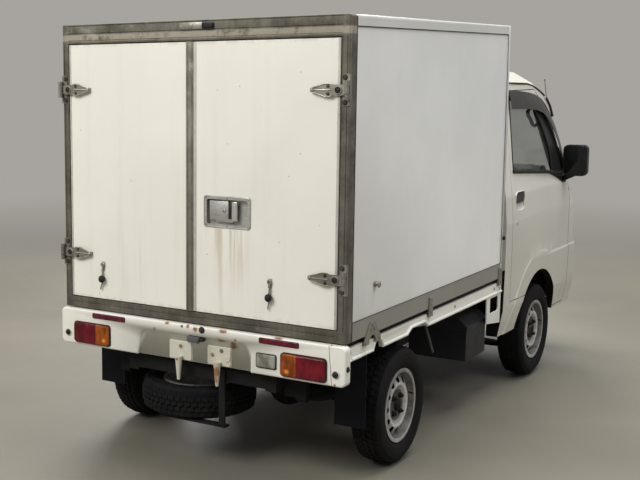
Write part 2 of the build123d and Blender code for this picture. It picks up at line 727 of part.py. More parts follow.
# Steel brackets that tie the box to the bed rails: x of each, width at the top and at the foot
BOX_BRACKETS = ((-361, 44, 164), (277, 40, 46), (cab_tail - 70, 40, 46))
BRACKET_THICKNESS = 6
BRACKET_TOP = BOX_BOTTOM + 55
BRACKET_FOOT = BED_TOP - 12
BRACKET_FOOT_HEIGHT = 8
BRACKET_ARCH = 34
with BuildPart() as box_brackets:
    for x, top_width, foot_width in BOX_BRACKETS:
        for sign in (1, -1):
            with BuildSketch(side_plane(sign * box_half)):
                Polygon(
                    (x - foot_width / 2, BRACKET_FOOT),
                    (x + foot_width / 2, BRACKET_FOOT),
                    (x + foot_width / 2, BRACKET_FOOT + 16),
                    (x + top_width / 2, BRACKET_TOP),
                    (x - top_width / 2, BRACKET_TOP),
                    (x - foot_width / 2, BRACKET_FOOT + 16),
                    align=None,
                )
                if foot_width > 3 * BRACKET_ARCH:
                    with Locations((x, BRACKET_FOOT)):
                        Circle(BRACKET_ARCH, mode=Mode.SUBTRACT)
            extrude(amount=-sign * BRACKET_THICKNESS)
            for end in (-1, 1):
                foot_outer = x + end * foot_width / 2
                foot_inner = x + end * (foot_width / 2 - BRACKET_FOOT_HEIGHT * 2)
                ends = sorted((foot_outer, foot_inner))
                side_block(
                    sign,
                    (ends[0], BED_HALF_WIDTH, BRACKET_FOOT),
                    (ends[1], box_half + BRACKET_THICKNESS, BRACKET_FOOT + BRACKET_FOOT_HEIGHT),
                )
box_brackets.part.label = "box_brackets"
export_step(box_brackets.part, "parts/box_brackets.step")

# Hinges of the box doors: a plate on the post, two knuckles on it and the pin through them
PIN_PROUD = 22
PIN_INBOARD = 4
PIN_RADIUS = 4
PIN_LENGTH = 74
KNUCKLE_RADIUS = 9
POST_KNUCKLE_LENGTH = 20
STRAP_KNUCKLE_LENGTH = 30
KNUCKLE_PITCH = 27
LOWER_HINGE_ABOVE_SILL = 212
UPPER_HINGE_BELOW_HEADER = 208
HINGE_PLATE_HEIGHT = 126
HINGE_PLATE_WIDTH = 30
HINGE_PLATE_THICKNESS = 4
STRAP_HEIGHT = 52
STRAP_REACH = 163
STRAP_THICKNESS = 5
hinge_heights = (opening_bottom + LOWER_HINGE_ABOVE_SILL, opening_top - UPPER_HINGE_BELOW_HEADER)
hinge_plate_rear = BOX_REAR - HINGE_PLATE_THICKNESS
pin_x = BOX_REAR - PIN_PROUD
pin_y = box_half - PIN_INBOARD
with BuildPart() as box_hinges:
    for z in hinge_heights:
        for sign in (1, -1):
            side_block(
                sign,
                (hinge_plate_rear, box_half - HINGE_PLATE_WIDTH, z - HINGE_PLATE_HEIGHT / 2),
                (BOX_REAR, box_half, z + HINGE_PLATE_HEIGHT / 2),
            )
            side_block(
                sign,
                (hinge_plate_rear, box_half - ROOF_EDGE - 2, z - HINGE_PLATE_HEIGHT / 2),
                (BOX_REAR + ROOF_EDGE, box_half, z + HINGE_PLATE_HEIGHT / 2),
            )
            for step in (-1, 1):
                knuckle_z = z + step * KNUCKLE_PITCH
                with Locations(place(pin_x, sign * pin_y, knuckle_z)):
                    Cylinder(KNUCKLE_RADIUS, POST_KNUCKLE_LENGTH)
                side_block(
                    sign,
                    (pin_x, pin_y - PIN_RADIUS, knuckle_z - POST_KNUCKLE_LENGTH / 2),
                    (BOX_REAR, pin_y + PIN_RADIUS, knuckle_z + POST_KNUCKLE_LENGTH / 2),
                )
            with Locations(place(pin_x, sign * pin_y, z)):
                Cylinder(PIN_RADIUS, PIN_LENGTH)
    add(box_frame.part, mode=Mode.SUBTRACT)
box_hinges.part.label = "box_hinges"
export_step(box_hinges.part, "parts/box_hinges.step")

# Box doors: thick panels with a shallow frame line, tapering strap hinges and their knuckles,
# and on the right door the pocket of the latch
LATCH_Y = (-284, -52)
LATCH_ABOVE_SILL = 384
LATCH_HEIGHT = 137
LATCH_BORDER = 10
LATCH_RECESS_DEPTH = 24
PANEL_LINE = 1.5
PANEL_BORDER = 14
door_outer_y = rail_inner_y - GAP
door_inner_y = DOOR_MEETING_GAP / 2
latch_low = opening_bottom + LATCH_ABOVE_SILL
latch_middle = ((LATCH_Y[0] + LATCH_Y[1]) / 2, latch_low + LATCH_HEIGHT / 2)
latch_width = LATCH_Y[1] - LATCH_Y[0]
strap_rear = BOX_REAR - HINGE_PLATE_THICKNESS - GAP - STRAP_THICKNESS
for side, sign in SIDES:
    with BuildPart() as box_door:
        side_block(
            sign,
            (BOX_REAR, door_inner_y, opening_bottom + GAP),
            (BOX_REAR + BOX_DOOR_THICKNESS, door_outer_y, opening_top - GAP),
        )
        for z in hinge_heights:
            strap_tip = pin_y - STRAP_REACH
            with BuildSketch(cross_plane(strap_rear)):
                Polygon(
                    (sign * pin_y, z - STRAP_KNUCKLE_LENGTH / 2),
                    (sign * (pin_y - 60), z - STRAP_KNUCKLE_LENGTH / 2),
                    (sign * (pin_y - 80), z - STRAP_HEIGHT / 2),
                    (sign * (pin_y - 104), z - STRAP_HEIGHT / 2),
                    (sign * (pin_y - 128), z - 12),
                    (sign * strap_tip, z - 8),
                    (sign * strap_tip, z + 8),
                    (sign * (pin_y - 128), z + 12),
                    (sign * (pin_y - 104), z + STRAP_HEIGHT / 2),
                    (sign * (pin_y - 80), z + STRAP_HEIGHT / 2),
                    (sign * (pin_y - 60), z + STRAP_KNUCKLE_LENGTH / 2),
                    (sign * pin_y, z + STRAP_KNUCKLE_LENGTH / 2),
                    align=None,
                )
            extrude(amount=STRAP_THICKNESS)
            side_block(
                sign,
                (strap_rear, strap_tip, z - 8),
                (BOX_REAR, door_outer_y - 4, z + 8),
            )
            with Locations(place(pin_x, sign * pin_y, z)):
                Cylinder(KNUCKLE_RADIUS, STRAP_KNUCKLE_LENGTH)
                Cylinder(PIN_RADIUS + FIT, STRAP_KNUCKLE_LENGTH + 4, mode=Mode.SUBTRACT)
        if side == "right":
            with BuildSketch(cross_plane(BOX_REAR)):
                with Locations(latch_middle):
                    Rectangle(latch_width - 2 * LATCH_BORDER, LATCH_HEIGHT - 2 * LATCH_BORDER)
            extrude(amount=LATCH_RECESS_DEPTH, mode=Mode.SUBTRACT)
    box_door.part.label = f"box_door_{side}"
    export_step(box_door.part, f"parts/box_door_{side}.step")

# Latch: a pressed frame over the pocket, the pocket's pan and a paddle that hangs in it
LATCH_PLATE = 3
LATCH_PAN = 2
PADDLE = ((-196, 26), (-110, 104))
with BuildPart() as door_latch:
    with BuildSketch(cross_plane(BOX_REAR - LATCH_PLATE)):
        with Locations(latch_middle):
            RectangleRounded(latch_width, LATCH_HEIGHT, 12)
            RectangleRounded(
                latch_width - 3 * LATCH_BORDER,
                LATCH_HEIGHT - 3 * LATCH_BORDER,
                8,
                mode=Mode.SUBTRACT,
            )
    extrude(amount=LATCH_PLATE)
    with BuildSketch(cross_plane(BOX_REAR + LATCH_RECESS_DEPTH - LATCH_PAN)):
        with Locations(latch_middle):
            Rectangle(latch_width - 2 * LATCH_BORDER, LATCH_HEIGHT - 2 * LATCH_BORDER)
    extrude(amount=LATCH_PAN)
    for end in (-1, 1):
        wall_y = latch_middle[0] + end * (latch_width / 2 - LATCH_BORDER)
        walls = sorted((wall_y, wall_y - end * LATCH_BORDER / 2))
        block(
            (BOX_REAR, walls[0], latch_low + LATCH_BORDER),
            (BOX_REAR + LATCH_RECESS_DEPTH, walls[1], latch_low + LATCH_HEIGHT - LATCH_BORDER),
        )
    block(
        (BOX_REAR + 2, PADDLE[0][0], latch_low + PADDLE[0][1]),
        (BOX_REAR + LATCH_RECESS_DEPTH, PADDLE[1][0], latch_low + PADDLE[1][1]),
    )
door_latch.part.label = "door_latch"
export_step(door_latch.part, "parts/door_latch.step")

# Cab. Its form is lofted through level sections. Each row gives the section's height, how much
# narrower than the cab it is on each side, how far its nose lies behind the front end, how far
# the nose's corners fall back, and their radius. The roof falls to its edges and its front
# corners.
CAB_SECTIONS = (
    (CAB_BOTTOM, 31, 41, 60, 110),
    (480, 4, FLARE_PROUD, 70, 120),
    (700, 0, 31, 70, 120),
    (940, 0, 66, 80, 120),
    (1075, 9, 171, 100, 80),
    (1800, 100, 649, 86, 60),
)
CAB_CUT_BELOW = 5
ROOF_EDGE = (655, 1662)
ROOF_SHOULDER = (585, 1738)
ROOF_CORNER = (65, 645, 1662)
ROOF_CORNER_FACING = (0.28, 0.29, 0.92)
FLARE_TOP = 690
FLARE_RAMP = 14
FLARE_SINK = 2


def cab_section(z, half, nose, tail, fall, corner):
    """One level section of the cab: square at the rear, bowed in front, round at the corners."""
    with BuildSketch(level_plane(z, FRONT_AXLE_X)) as section:
        with BuildLine():
            Polyline((nose - fall, half), (tail, half), (tail, -half), (nose - fall, -half))
            ThreePointArc((nose - fall, -half), (nose, 0), (nose - fall, half))
        make_face()
        fillet(section.vertices().group_by(Axis.X)[-1], radius=corner)
    return section.sketch


def cab_form(inset):
    """The cab's whole form, set in by a distance, for its outside and the inside of its walls."""
    with BuildPart() as form:
        sections = []
        for z, narrower, setback, fall, corner in CAB_SECTIONS:
            low = CAB_CUT_BELOW if z == CAB_BOTTOM and inset > 0 else 0
            half = CAB_HALF_WIDTH - narrower - inset
            nose = FRONT_OVERHANG - setback - inset
            sections.append(cab_section(z - low, half, nose, CAB_REAR + inset, fall, corner - inset))
        loft(sections, ruled=True)
        shoulder = (ROOF_SHOULDER[0] - inset, ROOF_SHOULDER[1] - inset)
        edge = (ROOF_EDGE[0] - inset, ROOF_EDGE[1] - inset)
        with BuildSketch(cross_plane(CAB_REAR - 20, FRONT_AXLE_X)):
            with BuildLine():
                Polyline(
                    (-760, 300), (-760, edge[1] - 20), (-edge[0], edge[1]), (-shoulder[0], shoulder[1])
                )
                ThreePointArc((-shoulder[0], shoulder[1]), (0, CAB_TOP - inset), shoulder)
                Polyline(shoulder, edge, (760, edge[1] - 20), (760, 300), (-760, 300))
            make_face()
        extrude(amount=FRONT_OVERHANG - CAB_REAR + 40, mode=Mode.INTERSECT)
        rear_roof = CAB_TOP - 45 - inset
        with BuildSketch(side_plane(0, FRONT_AXLE_X)):
            with BuildLine():
                Polyline(
                    (CAB_REAR - 20, 300), (CAB_REAR - 20, rear_roof), (CAB_REAR, rear_roof),
                    (CAB_REAR + 60, CAB_TOP - 13 - inset),
                )
                ThreePointArc(
                    (CAB_REAR + 60, CAB_TOP - 13 - inset),
                    (CAB_REAR + 260, CAB_TOP - inset),
                    (CAB_REAR + 620, CAB_TOP - 58 - inset),
                )
                Polyline(
                    (CAB_REAR + 620, CAB_TOP - 58 - inset),
                    (CAB_REAR + 780, CAB_TOP - 118 - inset),
                    (CAB_REAR + 880, CAB_TOP - 158 - inset),
                    (FRONT_OVERHANG + 20, CAB_TOP - 158 - inset),
                    (FRONT_OVERHANG + 20, 300),
                    (CAB_REAR - 20, 300),
                )
            make_face()
        extrude(amount=BOX_WIDTH, both=True, mode=Mode.INTERSECT)
        for sign in (1, -1):
            corner_x, corner_y, corner_z = ROOF_CORNER
            tip = place(corner_x, sign * (corner_y - inset), corner_z - inset, FRONT_AXLE_X)
            facing = (ROOF_CORNER_FACING[0], sign * ROOF_CORNER_FACING[1], ROOF_CORNER_FACING[2])
            split(bisect_by=Plane(origin=tip, z_dir=facing), keep=Keep.BOTTOM)
    return form.part


def lower_form():
    """The fuller lower body ahead of the front axle, which ramps back to the cab's form."""
    bottom, waist, crease = CAB_SECTIONS[:3]
    rows = (
        (bottom, bottom[0], FLARE_PROUD),
        (waist, waist[0], FLARE_PROUD),
        (crease, FLARE_TOP, FLARE_PROUD),
        (crease, FLARE_TOP + FLARE_RAMP, -FLARE_SINK),
    )
    with BuildPart() as form:
        sections = []
        for (_, narrower, setback, fall, corner), z, proud in rows:
            half = CAB_HALF_WIDTH - narrower + proud
            nose = FRONT_OVERHANG - setback + proud
            sections.append(cab_section(z, half, nose, 0, fall, corner + proud))
        loft(sections, ruled=True)
    return form.part


# The arch flares stand proud of the cab's sides inside a cone about the front axle
FLARE_SLOPE = 2
FLARE_DEPTH = 60
flare_radius = ARCH_RADIUS + FLARE_WIDTH
with BuildPart() as flare_cones:
    for sign in (1, -1):
        for offset_y in (-FLARE_DEPTH, FLARE_PROUD + 3):
            with BuildSketch(side_plane(sign * (CAB_HALF_WIDTH + offset_y), FRONT_AXLE_X)):
                with Locations((0, WHEEL_CENTRE_Z)):
                    Circle(flare_radius - FLARE_SLOPE * offset_y)
        loft()

with BuildPart() as cab_shape:
    add(cab_form(-FLARE_PROUD))
    add(flare_cones.part, mode=Mode.INTERSECT)
    add(cab_form(0))
    add(lower_form())
cab_outer = cab_shape.part
cab_inner = cab_form(CAB_WALL)

# Door and window outlines, seen from the side
DOOR_REAR = -496
DOOR_FRONT = 540
DOOR_BOTTOM = 350
DOOR_REAR_BOTTOM = 512
DOOR_TOP = 1640
DOOR_LEAN = 34
DOOR_ROOF_END = 20
PILLAR_MIDDLE = (300, 1432)
BELT = 1130
WINDOW_BORDER = 46
WINDOW_LOW = 1165
WINDOW_PILLAR_MIDDLE = (236, 1412)
DOOR_FRONT_GAP = 8
ROOF_SEAM = 1662


def door_outline(grow):
    """The door's outline, or its opening when grown by the gap, wider at the hinge edge."""
    with BuildSketch(side_plane(0, FRONT_AXLE_X)) as outline:
        with BuildLine():
            Polyline(
                (DOOR_FRONT - 46, BELT),
                (DOOR_FRONT, BELT - 90),
                (DOOR_FRONT, DOOR_BOTTOM),
                (0, DOOR_BOTTOM),
                (0, DOOR_REAR_BOTTOM),
                (DOOR_REAR, DOOR_REAR_BOTTOM),
                (DOOR_REAR, BELT),
                (DOOR_REAR + DOOR_LEAN, DOOR_TOP),
                (DOOR_ROOF_END, DOOR_TOP),
            )
            ThreePointArc((DOOR_ROOF_END, DOOR_TOP), PILLAR_MIDDLE, (DOOR_FRONT - 46, BELT))
        make_face()
        if grow:
            offset(amount=grow, kind=Kind.INTERSECTION)
            with Locations((DOOR_FRONT + DOOR_FRONT_GAP / 2, (DOOR_BOTTOM - grow + BELT - 90) / 2)):
                Rectangle(DOOR_FRONT_GAP, BELT - 90 - DOOR_BOTTOM + grow)
    return outline.sketch


def window_outline(grow):
    """The opening for the door's glass, or the glass when grown by less than nothing."""
    with BuildSketch(side_plane(0, FRONT_AXLE_X)) as outline:
        with BuildLine():
            Polyline(
                (DOOR_FRONT - 118, WINDOW_LOW - 8),
                (DOOR_FRONT - 300, WINDOW_LOW),
                (DOOR_REAR + WINDOW_BORDER, WINDOW_LOW + 40),
                (DOOR_REAR + DOOR_LEAN + WINDOW_BORDER, DOOR_TOP - WINDOW_BORDER),
                (DOOR_ROOF_END - 20, DOOR_TOP - WINDOW_BORDER),
            )
            ThreePointArc(
                (DOOR_ROOF_END - 20, DOOR_TOP - WINDOW_BORDER),
                WINDOW_PILLAR_MIDDLE,
                (DOOR_FRONT - 118, WINDOW_LOW - 8),
            )
        make_face()
        if grow:
            offset(amount=grow, kind=Kind.INTERSECTION)
    return outline.sketch


SCREEN_LOW = 1105
SCREEN_HIGH = 1600
SCREEN_LOW_HALF = 622
SCREEN_HIGH_HALF = 560


def windscreen_outline(shrink):
    with BuildSketch(cross_plane(100, FRONT_AXLE_X)) as outline:
        Polygon(
            (-SCREEN_LOW_HALF + shrink, SCREEN_LOW + shrink),
            (SCREEN_LOW_HALF - shrink, SCREEN_LOW + shrink),
            (SCREEN_HIGH_HALF - shrink, SCREEN_HIGH - shrink),
            (-SCREEN_HIGH_HALF + shrink, SCREEN_HIGH - shrink),
            align=None,
        )
    return outline.sketch


def rear_window_outline(shrink, x):
    with BuildSketch(cross_plane(x, FRONT_AXLE_X)) as outline:
        with Locations((0, 1370)):
            RectangleRounded(1060 - 2 * shrink, 380 - 2 * shrink, 40)
    return outline.sketch


HEADLAMP_Y = 560
HEADLAMP_Z = 800
HEADLAMP_SIZE = (240, 168)


def headlamp_outline(shrink):
    with BuildSketch(cross_plane(610, FRONT_AXLE_X)) as outline:
        with Locations((-HEADLAMP_Y, HEADLAMP_Z), (HEADLAMP_Y, HEADLAMP_Z)):
            RectangleRounded(HEADLAMP_SIZE[0] - 2 * shrink, HEADLAMP_SIZE[1] - 2 * shrink, 40)
    return outline.sketch


# Cab door hinges: pins in pockets behind the front post's skin
HINGE_AHEAD = 25
HINGE_INBOARD = 12
HINGE_SKIN = 5
CAB_HINGE_HEIGHTS = (610, 940)
HINGE_EYE_RADIUS = 5
HINGE_PIN_RADIUS = 2.5
HINGE_EYE_HEIGHT = 44
HINGE_ARM_BACK = 40
POCKET_HEIGHT = 60
POCKET_AHEAD = 10
POCKET_DEPTH = 42
DOOR_SKIN = 6
DOOR_EDGE_CUT = 10
DOOR_EDGE_CUT_LOW = 470
hinge_x = DOOR_FRONT + HINGE_AHEAD
hinge_y = CAB_HALF_WIDTH - HINGE_INBOARD
BUMPER_BACK = 280
BUMPER_TOP = 600
WIDE = 900

with BuildPart() as cab_body:
    add(cab_outer)
    add(cab_inner, mode=Mode.SUBTRACT)
    extrude(door_outline(GAP), amount=WIDE, both=True, mode=Mode.SUBTRACT)
    with BuildSketch(side_plane(0, FRONT_AXLE_X)):
        with Locations((0, WHEEL_CENTRE_Z)):
            Circle(ARCH_RADIUS)
        with Locations((0, ROOF_SEAM + 300)):
            Rectangle(4 * WIDE, 600)
        with Locations((FRONT_OVERHANG, BUMPER_TOP / 2)):
            Rectangle(2 * BUMPER_BACK, BUMPER_TOP)
    extrude(amount=WIDE, both=True, mode=Mode.SUBTRACT)
    extrude(rear_window_outline(0, CAB_REAR), amount=CAB_WALL + 5, mode=Mode.SUBTRACT)
    with BuildSketch(cross_plane(CAB_REAR, FRONT_AXLE_X)):
        with Locations((0, (DECK_TOP - SHEET) / 2)):
            Rectangle(1280, DECK_TOP - SHEET)
    extrude(amount=CAB_WALL + 5, mode=Mode.SUBTRACT)
    extrude(windscreen_outline(0), amount=WIDE, mode=Mode.SUBTRACT)
    extrude(headlamp_outline(0), amount=WIDE, mode=Mode.SUBTRACT)
    for sign in (1, -1):
        for z in CAB_HINGE_HEIGHTS:
            pocket_outer = CAB_HALF_WIDTH - HINGE_SKIN
            side_block(
                sign,
                (DOOR_FRONT, pocket_outer - POCKET_DEPTH, z - POCKET_HEIGHT / 2),
                (hinge_x + POCKET_AHEAD, pocket_outer, z + POCKET_HEIGHT / 2),
                FRONT_AXLE_X,
                Mode.SUBTRACT,
            )
            with Locations(place(hinge_x, sign * hinge_y, z, FRONT_AXLE_X)):
                Cylinder(HINGE_PIN_RADIUS, POCKET_HEIGHT + 4)
cab_body.part.label = "cab_body"
export_step(cab_body.part, "parts/cab_body.step")

with BuildPart() as cab_roof:
    add(cab_outer)
    add(cab_inner, mode=Mode.SUBTRACT)
    with BuildSketch(level_plane(ROOF_SEAM, FRONT_AXLE_X)):
        Rectangle(4 * WIDE, 2 * WIDE)
    extrude(amount=400, mode=Mode.INTERSECT)
cab_roof.part.label = "cab_roof"
export_step(cab_roof.part, "parts/cab_roof.step")

# Front bumper, with its air slot and the holes of a number plate
SLOT_Z = 430
PLATE_HOLES_Z = 530
PLATE_HOLE_SPACING = 210
PLATE_HOLE_RADIUS = 3.5
with BuildPart() as front_bumper:
    add(cab_outer)
    add(cab_inner, mode=Mode.SUBTRACT)
    with BuildSketch(side_plane(0, FRONT_AXLE_X)):
        with Locations((FRONT_OVERHANG, BUMPER_TOP / 2)):
            Rectangle(2 * BUMPER_BACK, BUMPER_TOP)
    extrude(amount=WIDE, both=True, mode=Mode.INTERSECT)
    with BuildSketch(cross_plane(FRONT_OVERHANG - BUMPER_BACK, FRONT_AXLE_X)):
        with Locations((0, SLOT_Z)):
            RectangleRounded(700, 60, 20)
        with Locations((0, PLATE_HOLES_Z)):
            with GridLocations(PLATE_HOLE_SPACING, 0, 2, 1):
                Circle(PLATE_HOLE_RADIUS)
    extrude(amount=WIDE, mode=Mode.SUBTRACT)
front_bumper.part.label = "front_bumper"
export_step(front_bumper.part, "parts/front_bumper.step")

HEADLAMP_DEPTH = 26
with BuildPart() as headlamps:
    add(cab_outer)
    add(cab_form(HEADLAMP_DEPTH), mode=Mode.SUBTRACT)
    extrude(headlamp_outline(FIT), amount=WIDE, mode=Mode.INTERSECT)
headlamps.part.label = "headlamps"
export_step(headlamps.part, "parts/headlamps.step")

# Glass: a thin shell just inside the cab's outside, cut to each opening
WINDOW_GLASS = 5
GLASS_INSET = 12
with BuildPart() as glass_shell:
    add(cab_form(GLASS_INSET))
    add(cab_form(GLASS_INSET + WINDOW_GLASS), mode=Mode.SUBTRACT)

with BuildPart() as cab_glass:
    add(glass_shell.part)
    extrude(windscreen_outline(FIT), amount=WIDE, mode=Mode.INTERSECT)
    extrude(rear_window_outline(FIT, CAB_REAR + GLASS_INSET), amount=WINDOW_GLASS)
cab_glass.part.label = "cab_glass"
export_step(cab_glass.part, "parts/cab_glass.step")

# Cab doors: the cab's wall inside the door's outline, a thin flange at the hinge edge, hidden
# goose-neck hinge arms, and a finger pocket for the handle
HANDLE_X = -402
HANDLE_Z = 1058
HANDLE_POCKET = (96, 50, 15)
for side, sign in SIDES:
    with BuildPart() as cab_door:
        add(cab_outer)
        add(cab_inner, mode=Mode.SUBTRACT)
        extrude(door_outline(0), amount=-sign * WIDE, mode=Mode.INTERSECT)
        with BuildSketch(side_plane(0, FRONT_AXLE_X)):
            with Locations((0, WHEEL_CENTRE_Z)):
                Circle(ARCH_RADIUS)
        extrude(amount=-sign * WIDE, mode=Mode.SUBTRACT)
        extrude(window_outline(0), amount=-sign * WIDE, mode=Mode.SUBTRACT)
        side_block(
            sign,
            (DOOR_FRONT - DOOR_EDGE_CUT, CAB_HALF_WIDTH - DOOR_SKIN - CAB_WALL, DOOR_EDGE_CUT_LOW),
            (DOOR_FRONT + DOOR_EDGE_CUT, CAB_HALF_WIDTH - DOOR_SKIN, BELT),
            FRONT_AXLE_X,
            Mode.SUBTRACT,
        )
        with BuildSketch(side_plane(sign * (CAB_HALF_WIDTH - 9 - HANDLE_POCKET[2]), FRONT_AXLE_X)):
            with Locations((HANDLE_X, HANDLE_Z)):
                RectangleRounded(HANDLE_POCKET[0], HANDLE_POCKET[1], 12)
        extrude(amount=-sign * WIDE, mode=Mode.SUBTRACT)
        for z in CAB_HINGE_HEIGHTS:
            arm_low = z - HINGE_EYE_HEIGHT / 2
            arm_high = z + HINGE_EYE_HEIGHT / 2
            side_block(
                sign,
                (DOOR_FRONT - HINGE_ARM_BACK, hinge_y - 24, arm_low),
                (hinge_x + 4, hinge_y - 16, arm_high),
                FRONT_AXLE_X,
            )
            side_block(
                sign, (hinge_x - 4, hinge_y - 24, arm_low), (hinge_x + 4, hinge_y, arm_high), FRONT_AXLE_X
            )
            with Locations(place(hinge_x, sign * hinge_y, z, FRONT_AXLE_X)):
                Cylinder(HINGE_EYE_RADIUS, HINGE_EYE_HEIGHT)
                Cylinder(HINGE_PIN_RADIUS + FIT, HINGE_EYE_HEIGHT + 2, mode=Mode.SUBTRACT)
    cab_door.part.label = f"cab_door_{side}"
    export_step(cab_door.part, f"parts/cab_door_{side}.step")

    with BuildPart() as door_glass:
        add(glass_shell.part)
        extrude(window_outline(-FIT), amount=-sign * WIDE, mode=Mode.INTERSECT)
    door_glass.part.label = f"door_glass_{side}"
    export_step(door_glass.part, f"parts/door_glass_{side}.step")

# Door mirrors: a rounded shell on a foot at the front corner of each door's window
MIRROR_X = 416
MIRROR_OUT = 63.5
MIRROR_Z = 1220
MIRROR_WIDTH = 138
MIRROR_HEIGHT = 184
MIRROR_DEPTH = 60
MIRROR_CORNER = 30
MIRROR_BOWL = 24
MIRROR_FOOT_X = 440
MIRROR_FOOT_Z = 1098
mirror_y = CAB_HALF_WIDTH + MIRROR_OUT
for side, sign in SIDES:
    with BuildPart() as mirror_part:
        with BuildSketch(cross_plane(MIRROR_X - MIRROR_DEPTH / 2, FRONT_AXLE_X)):
            with Locations((sign * mirror_y, MIRROR_Z)):
                RectangleRounded(MIRROR_WIDTH, MIRROR_HEIGHT, MIRROR_CORNER)
        extrude(amount=MIRROR_DEPTH)
        fillet(mirror_part.faces().sort_by(Axis.X)[-1].edges(), radius=MIRROR_BOWL)
        fillet(mirror_part.faces().sort_by(Axis.X)[0].edges(), radius=4)
        with BuildSketch(cross_plane(MIRROR_FOOT_X - 14, FRONT_AXLE_X)):
            Polygon(
                (sign * (CAB_HALF_WIDTH - 40), MIRROR_FOOT_Z - 22),
                (sign * (CAB_HALF_WIDTH - 40), MIRROR_FOOT_Z + 22),
                (sign * (mirror_y - 20), MIRROR_Z - MIRROR_HEIGHT / 2 + 8),
                (sign * (mirror_y + 20), MIRROR_Z - MIRROR_HEIGHT / 2 + 8),
                align=None,
            )
        extrude(amount=-22)
        add(cab_outer, mode=Mode.SUBTRACT)
    mirror_part.part.label = f"mirror_{side}"
    export_step(mirror_part.part, f"parts/mirror_{side}.step")

# Cab floor: deck over the wheels, footwell ahead of them, wheel housings and mounts
DECK_FRONT = 350
FOOTWELL_FRONT = 690
FOOTWELL_CORNER = 110
HOUSING_INNER = 405
HOUSING_LOW = 345
FLOOR_HALF_WIDTH = CAB_HALF_WIDTH - CAB_WALL - 5.5
FOOTWELL_HALF_WIDTH = FLOOR_HALF_WIDTH - 20
TOE_BOARD_TOP = 860
TOE_HALF_WIDTH = 540
MOUNT_HALF_WIDTH = 20
MOUNT_Y = RAIL_INNER + RAIL_WIDTH / 2
CAB_MOUNTS = ((400, FOOTWELL_TOP - SHEET), (-400, DECK_TOP - SHEET))
housing_rear = -ARCH_RADIUS - 8
deck_low = DECK_TOP - SHEET
footwell_low = FOOTWELL_TOP - SHEET
with BuildPart() as cab_floor:
    block(
        (CAB_REAR + CAB_WALL, -FLOOR_HALF_WIDTH, deck_low),
        (DECK_FRONT, FLOOR_HALF_WIDTH, DECK_TOP),
        FRONT_AXLE_X,
    )
    block(
        (DECK_FRONT - SHEET, -FOOTWELL_HALF_WIDTH, footwell_low),
        (DECK_FRONT, FOOTWELL_HALF_WIDTH, DECK_TOP),
        FRONT_AXLE_X,
    )
    with BuildSketch(level_plane(footwell_low, FRONT_AXLE_X)):
        Polygon(
            (DECK_FRONT - SHEET, -FOOTWELL_HALF_WIDTH),
            (FOOTWELL_FRONT - FOOTWELL_CORNER, -FOOTWELL_HALF_WIDTH),
            (FOOTWELL_FRONT, -TOE_HALF_WIDTH),
            (FOOTWELL_FRONT, TOE_HALF_WIDTH),
            (FOOTWELL_FRONT - FOOTWELL_CORNER, FOOTWELL_HALF_WIDTH),
            (DECK_FRONT - SHEET, FOOTWELL_HALF_WIDTH),
            align=None,
        )
    extrude(amount=SHEET)
    block(
        (FOOTWELL_FRONT, -TOE_HALF_WIDTH, footwell_low),
        (FOOTWELL_FRONT + SHEET, TOE_HALF_WIDTH, TOE_BOARD_TOP),
        FRONT_AXLE_X,
    )
    for sign in (1, -1):
        side_block(
            sign,
            (housing_rear, HOUSING_INNER, footwell_low),
            (DECK_FRONT, HOUSING_INNER + SHEET, deck_low),
            FRONT_AXLE_X,
        )
        with BuildSketch(cross_plane(housing_rear, FRONT_AXLE_X)):
            Polygon(
                (sign * HOUSING_INNER, HOUSING_LOW),
                (sign * (FLOOR_HALF_WIDTH - 30), HOUSING_LOW),
                (sign * FLOOR_HALF_WIDTH, 500),
                (sign * FLOOR_HALF_WIDTH, deck_low),
                (sign * HOUSING_INNER, deck_low),
                align=None,
            )
        extrude(amount=SHEET)
        for x, top in CAB_MOUNTS:
            side_block(
                sign,
                (x, MOUNT_Y - MOUNT_HALF_WIDTH, front_top),
                (x + 2 * MOUNT_HALF_WIDTH, MOUNT_Y + MOUNT_HALF_WIDTH, top),
                FRONT_AXLE_X,
            )
cab_floor.part.label = "cab_floor"
export_step(cab_floor.part, "parts/cab_floor.step")

# Dashboard and steering column, driver on the right. The wheel turns on an inclined shaft
# that runs in the column.
STEERING_Y = -350
STEERING_X = 280
STEERING_Z = 1060
STEERING_TILT = 40
STEERING_RADIUS = 180
STEERING_RIM_RADIUS = 13
COLUMN_RADIUS = 24
COLUMN_START = 40
COLUMN_LENGTH = 260
SHAFT_PEG = 14
SHAFT_LENGTH = 60
SPOKE_WIDTH = 26
SPOKE_THICKNESS = 8
HUB_RADIUS = 50
HUB_DEPTH = 30
HUB_BACK = 22
DASH_HALF_WIDTH = 600
steering_plane = Plane(
    origin=place(STEERING_X, STEERING_Y, STEERING_Z, FRONT_AXLE_X),
    x_dir=(0, 1, 0),
    z_dir=(-sin(radians(STEERING_TILT)), 0, cos(radians(STEERING_TILT))),
)
with BuildPart() as dashboard:
    with BuildSketch(side_plane(0, FRONT_AXLE_X)) as dash_section:
        Polygon(
            (370, 880),
            (360, 1000),
            (420, 1045),
            (540, 1045),
            (600, 960),
            (620, 840),
            (FOOTWELL_FRONT, 820),
            (FOOTWELL_FRONT, 780),
            (560, 760),
            (520, 840),
            align=None,
        )
        fillet(dash_section.vertices().group_by(Axis.X)[0], radius=18)
    extrude(amount=DASH_HALF_WIDTH, both=True)
    with BuildSketch(steering_plane.offset(-COLUMN_START)):
        Circle(COLUMN_RADIUS)
    extrude(amount=-COLUMN_LENGTH)
    with BuildSketch(steering_plane.offset(-COLUMN_START)):
        Circle(SHAFT_PEG + FIT)
    extrude(amount=-SHAFT_LENGTH, mode=Mode.SUBTRACT)
dashboard.part.label = "dashboard"
export_step(dashboard.part, "parts/dashboard.step")

